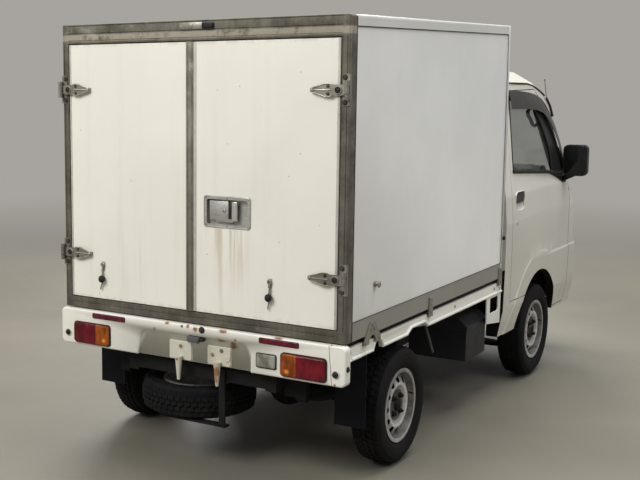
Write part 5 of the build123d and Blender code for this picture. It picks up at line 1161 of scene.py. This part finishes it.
for name, y_low, y_high in (("left", 0.362, 0.548), ("right", -0.526, -0.34)):
    area = (y_low, y_high, 0.628, 0.65)
    gasket(f"reflector_back_{name}", area, 0.0015, 0.002, 0.007)
    lens_block(f"reflector_{name}", area, 0.006, 0.006, [reflector_lens])
area = (-0.42, -0.33, 0.525, 0.582)
gasket("reversing_gasket", area, 0.004, 0.004, 0.009)
lens_block("reversing_lens", area, 0.008, 0.006, [clear_lens])
licence = Stock().block(bed(-0.6385, -0.042, 0.585), bed(-0.6015, 0.022, 0.612), 0.007)
licence.material = 1
licence.block(bed(-0.6345, -0.062, 0.593), bed(-0.6065, -0.038, 0.607), 0.004)
licence.piece("licence_lamp", "chassis", ("black_plastic", grey_plastic, seal_rubber))
strip = (bed(-0.6355, -0.034, 0.5815), bed(-0.6155, 0.014, 0.5865))
slabs("licence_lens", "chassis", ("lamp_plastic", clear_lens), strip)
places = [bed(-0.6285, y, z) for y, z in ((0.199, 0.62), (-0.223, 0.623), (0.05, 0.65))]
bolts("tail_bolts", "chassis", BOLT, places, -X_AXIS, 0.0045, 0.0018)
bolts("rusty_bolt", "chassis", IRON, [bed(-0.6285, -0.054, 0.645)], -X_AXIS, 0.0105, 0.005, 14, 0.0035)

# Washers, bolts and weld seams of the hooks' plates
HOOK_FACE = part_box("rear_hooks")[1].x - 0.0083
washers = Stock()
for y, z, radius in ((0.067, 0.556, 0.0125), (-0.172, 0.528, 0.0135), (-0.098, 0.54, 0.01)):
    hollow = [(0.0026, radius * 0.9), (0.0024, radius * 0.42), (0.0012, radius * 0.36)]
    washers.lathe((HOOK_FACE, y, z), -X_AXIS, [(0, radius), (0.002, radius), *hollow], 24)
washers.piece("hook_washers", "chassis", HOOK)
places = [(HOOK_FACE - 0.002, y, z) for y, z in ((0.067, 0.556), (-0.098, 0.54), (-0.144, 0.562))]
bolts("hook_bolts", "chassis", BOLT, places, -X_AXIS, 0.0062, 0.003)
welds = Stock()
for y in (0.07, -0.13):
    line = rounded(Vector((HOOK_FACE + 0.0075, y, 0.535)), 0.117, 0.081, 0.004, 3)
    for k, p in enumerate(line):
        line[k] = p + Vector((noise.noise(p * 90), noise.noise(p * 70), noise.noise(p * 80))) * 0.0012
    welds.tube(line, 0.0032, 8, closed=True)
welds.piece("hook_welds", "chassis", HOOK)
CORNER_SEAM = ((-0.6625, 0.6585), (-0.667, 0.6), (-0.672, 0.55), (-0.677, 0.4925))
line = [bed(-0.6278, y, z) for y, z in CORNER_SEAM]
trail("corner_seam", "chassis", SEAL, line, 0.0011, corners=6)

# Wheels

TREAD_STEPS = 96
TREAD_BLOCKS = 52
# distance across the tyre and radius, round the whole section
TYRE_SECTION = (
    (0.0555, 0.1545), (0.0558, 0.171), (0.0625, 0.18), (0.0668, 0.19), (0.0681, 0.1905), (0.0694, 0.197),
    (0.0712, 0.206), (0.0722, 0.2175), (0.0716, 0.228), (0.0695, 0.2372), (0.0698, 0.2386), (0.0672, 0.2415),
    (0.0625, 0.2505), (0.0572, 0.2562), (0.053, 0.2572), (0.036, 0.2586), (0.012, 0.2602),
)
# radius of the blocks' middle, place across, phase, skew and size, for each row of the tread
TREAD_ROWS = (
    (0.2618, 0.0, 0.0, 0.5, (0.0265, 0.0175, 0.011)),
    (0.2598, 0.0235, 0.06, -0.22, (0.027, 0.0185, 0.011)),
    (0.2598, -0.0235, 0.06, 0.22, (0.027, 0.0185, 0.011)),
    (0.2548, 0.0468, 0.0, 0.0, (0.0225, 0.0185, 0.0095)),
    (0.2548, -0.0468, 0.03, 0.0, (0.0225, 0.0185, 0.0095)),
)


def tyre_mesh():
    """A tyre about y at the origin: carcass rings and tread blocks."""
    outline = list(TYRE_SECTION) + [(-y, r) for y, r in reversed(TYRE_SECTION)]
    rings = [[Vector((r * c, y, r * s)) for y, r in outline] for c, s in around(TREAD_STEPS)]
    shape = Stock().rings(rings, closed=True)
    for radius, across, phase, skew, size in TREAD_ROWS:
        blocks = lugs.grow(
            bpy.data.meshes.new("seed"), Count=TREAD_BLOCKS, Radius=radius, Offset=(0, across, 0),
            Phase=phase, Skew=skew, Size=size, Material=tyre_rubber,
        )
        shape.mesh.from_mesh(blocks)
    return shape.done("tyre")


tyre = tyre_mesh()


def fit_tyre(node, body, place):
    """The tyre, moved into the place of a CAD tyre."""
    rubber = tyre.copy()
    rubber.transform(place)
    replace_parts(keep(f"{node}_shown", rubber, body, ("tyre_rubber", tyre_rubber), 30), node)


HUB_CAP = ((0.0, 0.0262), (0.006, 0.0262), (0.013, 0.0235), (0.0175, 0.0165), (0.019, 0.006))
for axle, axle_x in AXLES:
    for side, sign in SIDES:
        wheel = f"{axle}_{side}"
        body = f"wheel_{wheel}"
        low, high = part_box(f"tyre_{wheel}")
        centre = Vector((axle_x, (low.y + high.y) / 2, WHEEL_HEIGHT))
        fit_tyre(f"tyre_{wheel}", body, Matrix.Translation(centre))
        out = Y_AXIS * sign
        face = centre + out * 0.0402
        turns = [math.pi / 4 + k * math.pi / 2 for k in range(4)]
        nuts = [face + Vector((math.cos(t), 0, math.sin(t))) * 0.05 for t in turns]
        bolts(f"wheel_nuts_{wheel}", body, DARK_IRON, nuts, out, 0.0105, 0.0125, 6, 0.003)
        studs = [nut + out * 0.0125 for nut in nuts]
        bolts(f"wheel_studs_{wheel}", body, DARK_IRON, studs, out, 0.0055, 0.006, 14, 0.0012)
        cap = Stock().lathe(face - out * 0.002, out, HUB_CAP, 28)
        valve = ((0.044, 0.125, 0.03), (0.066, 0.121, 0.029))
        cap.tube([centre + out * y + Vector((x, 0, z)) for y, x, z in valve], 0.004)
        cap.piece(f"hub_cap_{wheel}", body, ("rim_silver", dark_iron))
low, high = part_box("spare_tyre")
lying = Matrix.Rotation(math.pi / 2, 4, "X")
fit_tyre("spare_tyre", "chassis", Matrix.Translation((low + high) / 2) @ lying)

# Cab


def door_point(sign, x, z, out=0.0):
    return cab(x, sign * (side_y(z) + out), z)


# The way out of the windscreen
NOSE_OUT = Vector((0.835, 0, 0.55))


def nose_point(y, z, out=0.0):
    """A point on the windscreen's slope, or out from it."""
    share = (z - CREASES[1]) / 0.725
    half = 0.7225 - 0.091 * share
    fall = 0.1 - 0.014 * share
    return cab(0.679 - 0.478 * share - fall * (y / half) ** 2, y, z) + NOSE_OUT * out


def arc(first, middle, last, count):
    """Points of the circle arc through three points of a side view."""
    (ax, ay), (bx, by), (cx, cy) = first, middle, last
    d = 2 * (ax * (by - cy) + bx * (cy - ay) + cx * (ay - by))
    a, b, c = (x**2 + y**2 for x, y in (first, middle, last))
    ux = (a * (by - cy) + b * (cy - ay) + c * (ay - by)) / d
    uy = (a * (cx - bx) + b * (ax - cx) + c * (bx - ax)) / d
    radius = math.hypot(ax - ux, ay - uy)
    start, end = (math.atan2(p[1] - uy, p[0] - ux) for p in (first, last))
    turn = (end - start + math.pi) % (2 * math.pi) - math.pi
    turns = [start + turn * k / count for k in range(count + 1)]
    return [(ux + radius * math.cos(t), uy + radius * math.sin(t)) for t in turns]


def steps(one, two, count):
    """Equal steps from one (y, z) to another, with both of them."""
    return [[a + (b - a) * k / count for a, b in zip(one, two)] for k in range(count + 1)]


def spread(points, count):
    """Points put evenly along a path of (x, z) corners."""
    lengths = [math.dist(a, b) for a, b in zip(points, points[1:])]
    total = sum(lengths)
    made = []
    for k in range(count):
        left = total * k / (count - 1)
        for (a, b), length in zip(zip(points, points[1:]), lengths):
            if left <= length + 1e-9:
                share = left / length
                made.append(tuple(p + (q - p) * share for p, q in zip(a, b)))
                break
            left -= length
    return made


# Paths on a door, as x from the front axle and z
WINDOW_PILLAR = arc((0.01, 1.597), (0.264, 1.424), (0.455, 1.152), 14)
SASH_EDGE = [
    (-0.03, 1.556), (0.006, 1.53), (0.093, 1.452), (0.167, 1.36), (0.222, 1.276), (0.231, 1.212),
    (0.24, 1.166),
]
WINDOW = [(-0.45, 1.205), (-0.416, 1.594), (-0.04, 1.594)] + SASH_EDGE
BELT_PATH = [(-0.456, 1.2115), (-0.16, 1.19), (0.13, 1.17), (0.24, 1.157), (0.4, 1.14)]
VISOR_TOP = [
    (-0.424, 1.644), (-0.221, 1.638), (-0.064, 1.626), (0.05, 1.611), (0.14, 1.588), (0.205, 1.553),
    (0.262, 1.512), (0.343, 1.441), (0.424, 1.327), (0.483, 1.23), (0.508, 1.16),
]
VISOR_FOOT = [
    (-0.44, 1.546), (-0.167, 1.538), (-0.016, 1.528), (0.095, 1.508), (0.184, 1.468), (0.268, 1.4),
    (0.33, 1.328), (0.363, 1.26), (0.393, 1.2), (0.42, 1.158),
]
MIRROR_COVER = [
    (0.165, 1.166), (0.17, 1.158), (0.3, 1.124), (0.425, 1.084), (0.475, 1.086), (0.486, 1.11),
    (0.486, 1.15), (0.392, 1.296), (0.352, 1.275), (0.42, 1.166),
]
GUTTER = [
    (-0.59, 1.6845), (-0.37, 1.683), (-0.09, 1.676), (0.0, 1.665), (0.065, 1.65), (0.14, 1.628),
    (0.205, 1.604),
]
LOCK = [(0, 0.0105), (0.0022, 0.0105), (0.0032, 0.009), (0.0026, 0.0065)]
# how far forward of the housing's back, width, height and corner of the mirror's glass
MIRROR_GLASS = ((0.003, 0.126, 0.172, 0.025), (0.0003, 0.125, 0.171, 0.0245), (-0.0012, 0.118, 0.164, 0.021))


def side_band(name, side, sign, coat, one, two, outs, thickness):
    """A strip on a door between two paths, its section given by how far it stands off."""
    rows = []
    for (x0, z0), (x1, z1) in zip(spread(one, 48), spread(two, 48)):
        outer = []
        for k, out in enumerate(outs):
            share = k / (len(outs) - 1)
            outer.append(door_point(sign, x0 + (x1 - x0) * share, z0 + (z1 - z0) * share, out))
        inner = [p - Y_AXIS * sign * thickness for p in outer]
        rows.append(outer + inner[::-1])
    Stock().rings(rows).piece(name, f"cab_door_{side}", coat, 50)


for side, sign in SIDES:
    body = f"cab_door_{side}"
    line = [door_point(sign, x, z, -0.002) for x, z in WINDOW]
    trail(f"window_seal_{side}", body, SEAL, line, 0.0062, closed=True, corners=10)
    line = [door_point(sign, x, z, 0.001) for x, z in spread(BELT_PATH, 12)]
    trail(f"belt_moulding_{side}", body, SEAL, line, 0.0095, corners=12)
    side_band(
        f"window_sash_{side}", side, sign, PLASTIC, SASH_EDGE, WINDOW_PILLAR,
        (0.0012, 0.002, 0.002), 0.007,
    )
    side_band(
        f"wind_visor_{side}", side, sign, ("window_glass", smoke_glass), VISOR_TOP, VISOR_FOOT,
        (0.0035, 0.0105, 0.0155, 0.019, 0.021, 0.022), 0.0022,
    )
    cover = [[door_point(sign, x, z, out) for x, z in MIRROR_COVER] for out in (-0.008, 0.004)]
    Stock().rings(cover).piece(f"mirror_cover_{side}", body, PLASTIC)
    skin_y = side_y(HANDLE[1])
    plates = []
    for inset, out in ((0.0, -0.016), (0.0, -0.005), (0.003, -0.001)):
        centre = cab(HANDLE[0], sign * (skin_y + out), HANDLE[1] + 0.0175)
        plates.append(rounded(centre, 0.138 - 2 * inset, 0.058 - 2 * inset, 0.024, along=X_AXIS))
    Stock().rings(plates).piece(f"door_paddle_{side}", body, PLASTIC)
    # the pocket's lip in the lighter, cleaner white: partly painted highlight
    centre = cab(HANDLE[0], sign * (skin_y - 0.0012), HANDLE[1])
    line = rounded(centre, 0.149, 0.103, 0.031, along=X_AXIS)
    trail(f"handle_edge_{side}", body, ("cab_paint", hem_paint), line, 0.0026, closed=True)
    lock_at = cab(-0.42, sign * (side_y(0.933) - 0.0008), 0.933)
    lock = Stock().lathe(lock_at, Y_AXIS * sign, LOCK, 24)
    lock.piece(f"door_lock_{side}", body, ("hinge_steel", bright_metal))
    ends = ((-0.0012, -0.0006, -0.005), (0.0012, 0.0012, 0.005))
    key_slot = [lock_at + Vector((x, sign * 0.0019 + y, z)) for x, y, z in ends]
    slabs(f"key_slot_{side}", body, SEAL, (*key_slot, 0.0003))
    centre = Vector((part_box(f"mirror_{side}")[0].x, sign * 0.795, 1.22))
    line = [p + X_AXIS * 0.003 for p in rounded(centre, 0.131, 0.177, 0.027, 6)]
    trail(f"mirror_bezel_{side}", body, PLASTIC, line, 0.003, closed=True)
    plates = [rounded(centre + X_AXIS * x, *size, 6) for x, *size in MIRROR_GLASS]
    Stock().rings(plates).piece(f"mirror_glass_{side}", body, ("window_glass", mirror_glass))
    line = [cab(x, sign * 0.6465, z) if z > 1.662 else door_point(sign, x, z, 0.001) for x, z in GUTTER]
    trail(f"roof_gutter_{side}", "chassis", SEAL, line, 0.0048, corners=10)

# Rubbers of the windscreen and rear window, wipers and their spindles, the cover at their foot
SCREEN = [(-0.622, 1.105), (0.622, 1.105), (0.56, 1.6), (-0.56, 1.6)]
line = []
for one, two in zip(SCREEN, SCREEN[1:] + SCREEN[:1]):
    line += [nose_point(y, z, -0.003) for y, z in steps(one, two, 10)[:-1]]
trail("screen_rubber", "chassis", SEAL, line, 0.0085, closed=True, corners=10)
line = rounded(cab(-0.596, 0, 1.37), 1.06, 0.38, 0.04, 6)
trail("rear_window_rubber", "chassis", SEAL, line, 0.0075, closed=True, corners=10)
wipers, blades = Stock(), Stock()
for y in (0.16, -0.46):
    wipers.lathe(nose_point(y, 1.078, -0.004), NOSE_OUT, [(0, 0.015), (0.018, 0.013), (0.024, 0.008)])
    arm = [nose_point(y, 1.078, 0.012), nose_point(y + 0.06, 1.1, 0.022), nose_point(y + 0.3, 1.175, 0.017)]
    wipers.tube(arm, 0.0052, 8)
    blade = steps((y + 0.06, 1.13), (y + 0.5, 1.205), 10)
    blades.tube([nose_point(a, b, 0.005) for a, b in blade], 0.0042, 6)
    wipers.tube([nose_point(a, b, 0.0125) for a, b in blade[1:10]], 0.0034, 6)
wipers.piece("wiper_arms", "chassis", PLASTIC)
blades.piece("wiper_blades", "chassis", SEAL)
COWL = ((1.078, -0.003), (1.078, 0.003), (1.092, 0.005), (1.096, -0.003))
cowl = [[nose_point(-0.6 + 1.2 * k / 24, z, out) for z, out in COWL] for k in range(25)]
Stock().rings(cowl).piece("cowl_cover", "chassis", PLASTIC)

# Headlamps: bowl and bulb behind each lens
BULB = [(0, 0.016), (0.012, 0.016), (0.014, 0.009), (0.045, 0.009), (0.05, 0.005)]
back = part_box("headlamps")[1].x - 0.105
for side, sign in SIDES:
    rings = []
    for depth, scale in ((0.012, 0.96), (0.0, 0.95), (-0.012, 0.86), (-0.03, 0.62), (-0.042, 0.3)):
        centre = Vector((back + depth - 0.002, sign * 0.56, 0.8))
        rings.append(rounded(centre, 0.226 * scale, 0.156 * scale, 0.045 * scale, 6))
    wall = [[p - X_AXIS * 0.003 for p in ring] for ring in rings[::-1]]
    bowl = Stock().rings(rings + wall, closed=True)
    bowl.piece(f"lamp_bowl_{side}", "chassis", ("lamp_glass", bright_metal), 60)
    bulb = Stock().lathe((back - 0.05, sign * 0.56, 0.8), X_AXIS, BULB)
    bulb.piece(f"lamp_bulb_{side}", "chassis", ("lamp_glass", clear_lens))

# Bumper: a dark mesh behind the air slot
slats("slot_bars", PLASTIC, 6, cab(0.802, 0, 0.407), (0, 0, 0.0092), (0.006, 0.69, 0.0045))
slats("slot_posts", PLASTIC, 9, cab(0.799, -0.32, 0.43), (0, 0.08, 0), (0.006, 0.0045, 0.056))

# Antenna on the right front post
antenna = Stock()
foot = ((0.226, 1.59, 0.004), (0.268, 1.542, 0.009), (0.31, 1.482, 0.006))
antenna.tube([door_point(-1, *place) for place in foot], 0.0072)
rod = [door_point(-1, 0.227, 1.588, 0.006), cab(0.195, -0.666, 1.64), cab(0.16, -0.67, 1.694)]
antenna.tube(rod, 0.0018, 8)
tip = [(0, 0.002), (0.002, 0.0035), (0.006, 0.0035), (0.008, 0.0015)]
antenna.lathe(cab(0.1605, -0.67, 1.69), Z_AXIS, tip, 12)
antenna.piece("antenna", "chassis", PLASTIC)

# Grips inside the front posts, inner mirror and gear lever
GRIP = (
    (0.14, 1.535), (0.1, 1.528), (0.074, 1.512), (0.088, 1.492), (0.123, 1.473), (0.17, 1.438),
    (0.207, 1.428), (0.256, 1.434), (0.3, 1.445),
)
KNOB = [(0, 0.012), (0.01, 0.019), (0.028, 0.022), (0.042, 0.014), (0.047, 0.004)]
inside = Stock()
for sign in (1, -1):
    inside.tube([cab(x, sign * 0.607, z) for x, z in GRIP], 0.0105)
mirror = ((0.215, 0.2, 0.055, 0.02), (0.232, 0.21, 0.062, 0.024))
inside.rings([rounded(cab(x, 0, 1.5), *size) for x, *size in mirror])
inside.tube([cab(0.23, 0, 1.52), cab(0.245, 0, 1.56), cab(0.23, 0, 1.6)], 0.006, 8)
inside.tube([cab(0.25, -0.02, 0.68), cab(0.23, -0.03, 0.8), cab(0.2, -0.03, 0.87)], 0.007)
inside.lathe(cab(0.198, -0.03, 0.862), (-0.35, 0, 1), KNOB)
inside.piece("cab_fittings", "chassis", PLASTIC)

# Dashboard: the pad on top, the hood over the instruments, their plate and dials, the vents
rows = []
for k in range(33):
    y = -0.592 + 1.184 * k / 32
    front = nose_point(y, 1.13).x - FRONT_AXLE - 0.03
    back = 0.475 if -0.53 < y < -0.17 else 0.385
    section = (
        (back, 1.03), (back + 0.004, 1.15), (back + 0.03, 1.178),
        (front - 0.06, 1.176), (front, 1.135), (front, 1.03),
    )
    rows.append([cab(x, y, z) for x, z in section])
Stock().rings(rows).piece("dash_pad", "chassis", DASH, 30)
DIALS_Y = -0.35
HOOD_FOOT = 1.035
rows = []
for k in range(9):
    t = math.pi * k / 8
    y, z = DIALS_Y + 0.165 * math.cos(t), HOOD_FOOT + 0.145 * math.sin(t)
    section = ((0.395, 1.0), (0.5, 0.8), (0.5, 0.74), (0.395, 0.93))
    rows.append([cab(x, y * s + (1 - s) * DIALS_Y, (z - HOOD_FOOT) * s + HOOD_FOOT) for x, s in section])
Stock().rings(rows).piece("instrument_hood", "chassis", DASH, 60)
dials = Stock().rings([rounded(cab(x, DIALS_Y, 1.085), 0.23, 0.1, 0.045) for x in (0.45, 0.462)])
dials.material = 1
for y, radius in ((DIALS_Y, 0.036), (-0.43, 0.022), (-0.27, 0.022)):
    bezel = [(0, radius), (0.003, radius), (0.004, radius * 0.94), (0.002, radius * 0.92)]
    dials.lathe(cab(0.451, y, 1.085), -X_AXIS, bezel, 28)
dials.piece("instruments", "chassis", ("dash_plastic", dash_plastic, bright_metal))
for name, y in (("left", 0.42), ("middle_left", 0.08), ("middle_right", -0.08)):
    place, step, size = cab(0.3625, y, 0.962), (0.0012, 0, 0.011), (0.006, 0.12, 0.0035)
    slats(f"vent_{name}", ("dash_plastic", black_plastic), 5, place, step, size)

# Seats

CUSHION_GRID = 26


def cushion(name, middle, along, size, crown, channels):
    """A stuffed pad: crowned faces, sides pulled in between the corners, sewn channels."""
    along = Vector(along).normalized()
    up = along.cross(Y_AXIS)
    length, width, depth = size
    shape = bmesh.new()
    bmesh.ops.create_cube(shape, size=1)
    bmesh.ops.subdivide_edges(shape, edges=shape.edges[:], cuts=CUSHION_GRID, use_grid_fill=True)
    for vert in shape.verts:
        u, v, w = (2 * c for c in vert.co)
        pull = 0.035 * (1 - u * u) * (1 - abs(v) ** 6) if abs(v) > 0.99 else 0.0
        soft = 1 - 0.16 * (abs(u) ** 6 + abs(v) ** 6) * abs(w)
        bulge = crown * (1 - u**4) * (1 - v**4) * (0.25 if w < 0 else 1.0)
        groove = 0.0
        if w > 0.5:
            for at in channels:
                groove += 0.009 * math.exp(-(((u - at) / 0.035) ** 2)) * (1 - abs(v) ** 8)
            groove += 0.006 * math.exp(-(((abs(v) - 0.62) / 0.03) ** 2)) * (1 - abs(u) ** 8)
        wobble = 0.002 * noise.noise(Vector((u * 2.1, v * 1.9, w)) * 1.7)
        round_u = u * (1 - 0.045 * abs(v) ** 4)
        round_v = (v - math.copysign(pull, v)) * (1 - 0.05 * abs(u) ** 4)
        point = middle + along * round_u * length / 2 + Y_AXIS * round_v * width / 2
        vert.co = point + up * (w * depth / 2 * soft + math.copysign(bulge, w) * abs(w) - groove + wobble)
    uv = shape.loops.layers.uv.new("weave")
    for face in shape.faces:
        for loop in face.loops:
            offset = loop.vert.co - middle
            loop[uv].uv = (offset.dot(along), offset.dot(Y_AXIS) + offset.dot(up))
        face.material_index = int(abs(face.normal.dot(up)) < 0.3)
    mesh = bpy.data.meshes.new(name)
    shape.to_mesh(mesh)
    shape.free()
    piece = keep(name, mesh, "chassis", ("seat_cloth", seat_cloth, seat_vinyl), 180)
    smooth = piece.modifiers.new("subdivision", "SUBSURF")
    smooth.levels = smooth.render_levels = 1
    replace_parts(piece, "seats")


# name, x and z of the middle, the way its length runs, size, crown, places of the channels
CUSHIONS = (
    ("seat_cushion", -0.07, 0.732, (1, 0, 0.06), (0.395, 0.455, 0.1), 0.014, (-0.35, 0.3)),
    ("seat_back", -0.372, 1.06, (0.19, 0, -1), (0.56, 0.44, 0.075), 0.013, (-0.3, 0.35)),
    ("head_rest", -0.425, 1.365, (0.1, 0, -1), (0.065, 0.24, 0.055), 0.006, ()),
)
for side, sign in SIDES:
    y = sign * 0.365
    for name, x, z, *shape in CUSHIONS:
        cushion(f"{name}_{side}", cab(x, y, z), *shape)
    base = Stock()
    for across in (-0.05, 0.05):
        base.tube([cab(-0.4, y + across, 1.3), cab(-0.42, y + across, 1.35)], 0.006)
    base.block(cab(-0.3, y - 0.2, 0.6625), cab(0.11, y + 0.2, 0.684), 0.006)
    base.piece(f"seat_base_{side}", "chassis", ("seat_cloth", seat_vinyl))
    outline = [cab(x, sign * 0.64, z) for x, z in ((-0.47, 1.3), (-0.47, 0.72), (-0.43, 0.72), (-0.43, 1.3))]
    Stock().plate(outline, (0, sign * 0.0015, 0)).piece(f"seat_belt_{side}", "chassis", SEAL)

# Under the truck

COIL_STEPS = 16
COIL_TURNS = 6
coils = Stock()
for sign in (1, -1):
    foot = Vector((FRONT_AXLE, sign * 0.59, 0.178))
    lean = (Vector((FRONT_AXLE, sign * 0.5, 0.648)) - foot).normalized()
    side_way = lean.orthogonal().normalized()
    other = lean.cross(side_way)
    line = []
    for k in range(COIL_TURNS * COIL_STEPS + 1):
        t = 2 * math.pi * k / COIL_STEPS
        spoke = (side_way * math.cos(t) + other * math.sin(t)) * 0.0385
        line.append(foot + lean * (0.298 + 0.16 * k / 96) + spoke)
    coils.tube(line, 0.0055, 8)
coils.piece("strut_coils", "chassis", BLACK)
clamps = [bed(x, sign * y, 0.262) for sign in (1, -1) for x in (-0.045, 0.045) for y in (0.435, 0.495)]
bolts("spring_clamp_nuts", "chassis", ("chassis_black", bolt_metal), clamps, -Z_AXIS, 0.009, 0.01)

# Stage, light, camera

BACKDROP = (0.385, 0.37, 0.345)
FLOOR_REACH = 60.0


def ground():
    """Floor that is lost in the backdrop's colour further out."""
    f = Finish("floor_finish")
    mottle = f.fade(f.cloud(0.7, 6), 0.3, 0.7, 0.92, 1.06)
    rough = 0.4 + 0.25 * f.cloud(3.0, 5)
    near = {"Base Color": f.shade((0.176, 0.163, 0.13), mottle), "Roughness": rough}
    away = f.node("VectorMath", {"operation": "LENGTH"}, {0: f.where}, output="Value")
    blend = {
        0: f.fade(away, 3.2, 11.0),
        1: f.node("BsdfPrincipled", None, near),
        2: f.node("Emission", None, {"Color": (*BACKDROP, 1)}),
    }
    f.node_out(f.node("MixShader", None, blend))
    return f.material


corners = [(a * FLOOR_REACH, b * FLOOR_REACH, 0) for a, b in ((-1, -1), (1, -1), (1, 1), (-1, 1))]
floor_mesh = bpy.data.meshes.new("floor")
floor_mesh.from_pydata(corners, [], [(0, 1, 2, 3)])
floor_mesh.materials.append(ground())
put("floor", floor_mesh)

# The camera sees the backdrop; the light of the sky is weaker
world = bpy.data.worlds.new("studio")
world.use_nodes = True
bpy.context.scene.world = world
nodes, links = world.node_tree.nodes, world.node_tree.links
nodes.clear()
mix = nodes.new("ShaderNodeMixShader")
links.new(nodes.new("ShaderNodeLightPath").outputs["Is Camera Ray"], mix.inputs[0])
for socket, colour, strength in ((1, (0.95, 0.96, 0.97, 1), 0.3), (2, (*BACKDROP, 1), 1.0)):
    sky = nodes.new("ShaderNodeBackground")
    sky.inputs["Color"].default_value = colour
    sky.inputs["Strength"].default_value = strength
    links.new(sky.outputs[0], mix.inputs[socket])
links.new(mix.outputs[0], nodes.new("ShaderNodeOutputWorld").inputs[0])

# name, place, what it is turned to, width, height, strength, colour
LAMPS = (
    ("tail_light", (-7.0, 1.5, 5.5), (-1.6, 0, 1.0), 4.0, 3.0, 425.0, (1.0, 0.985, 0.95)),
    ("side_light", (-1.5, -6.0, 6.5), (-0.5, 0, 1.4), 5.0, 2.5, 185.0, (0.98, 0.99, 1.0)),
    ("top_light", (0.5, 0.0, 7.0), (0, 0, 0), 7.0, 4.0, 720.0, (1.0, 0.99, 0.97)),
    ("front_light", (7.0, 4.0, 5.0), (1.0, 0, 0.8), 4.0, 3.0, 300.0, (1.0, 0.99, 0.97)),
)
for name, place, target, width, height, power, colour in LAMPS:
    light = bpy.data.lights.new(name, "AREA")
    light.shape = "RECTANGLE"
    light.size, light.size_y = width, height
    light.energy = power
    light.color = colour
    lamp = put(name, light)
    lamp.location = place
    lamp.rotation_euler = (Vector(target) - Vector(place)).to_track_quat("-Z", "Y").to_euler()

# The photo's camera, fitted to the size of the truck
VIEW_YAW, VIEW_PITCH, VIEW_ROLL = (math.radians(a) for a in (37.287, 7.898, -0.615))
PHOTO_WIDTH, PHOTO_HEIGHT = 640, 480
FOCAL_PIXELS = 1158.17
CENTRE_PIXEL = (106.0, 232.8)
SENSOR = 36
level = Vector((math.cos(VIEW_YAW), math.sin(VIEW_YAW), 0))
forward = level * math.cos(VIEW_PITCH) - Z_AXIS * math.sin(VIEW_PITCH)
level_right = Vector((math.sin(VIEW_YAW), -math.cos(VIEW_YAW), 0))
level_up = level_right.cross(forward)
right = level_right * math.cos(VIEW_ROLL) + level_up * math.sin(VIEW_ROLL)
up = level_up * math.cos(VIEW_ROLL) - level_right * math.sin(VIEW_ROLL)
turned = Matrix((right, up, -forward)).transposed().to_4x4()
camera = put("camera", bpy.data.cameras.new("camera"))
camera.data.sensor_width = SENSOR
camera.data.lens = FOCAL_PIXELS * SENSOR / PHOTO_WIDTH
camera.data.shift_x = (PHOTO_WIDTH / 2 - CENTRE_PIXEL[0]) / PHOTO_WIDTH
camera.data.shift_y = (CENTRE_PIXEL[1] - PHOTO_HEIGHT / 2) / PHOTO_WIDTH
camera.data.clip_end = 200
camera.matrix_world = Matrix.Translation(bed(-4.814, -2.722, 1.765)) @ turned
bpy.context.scene.camera = camera
bpy.context.scene.view_settings.view_transform = "Standard"
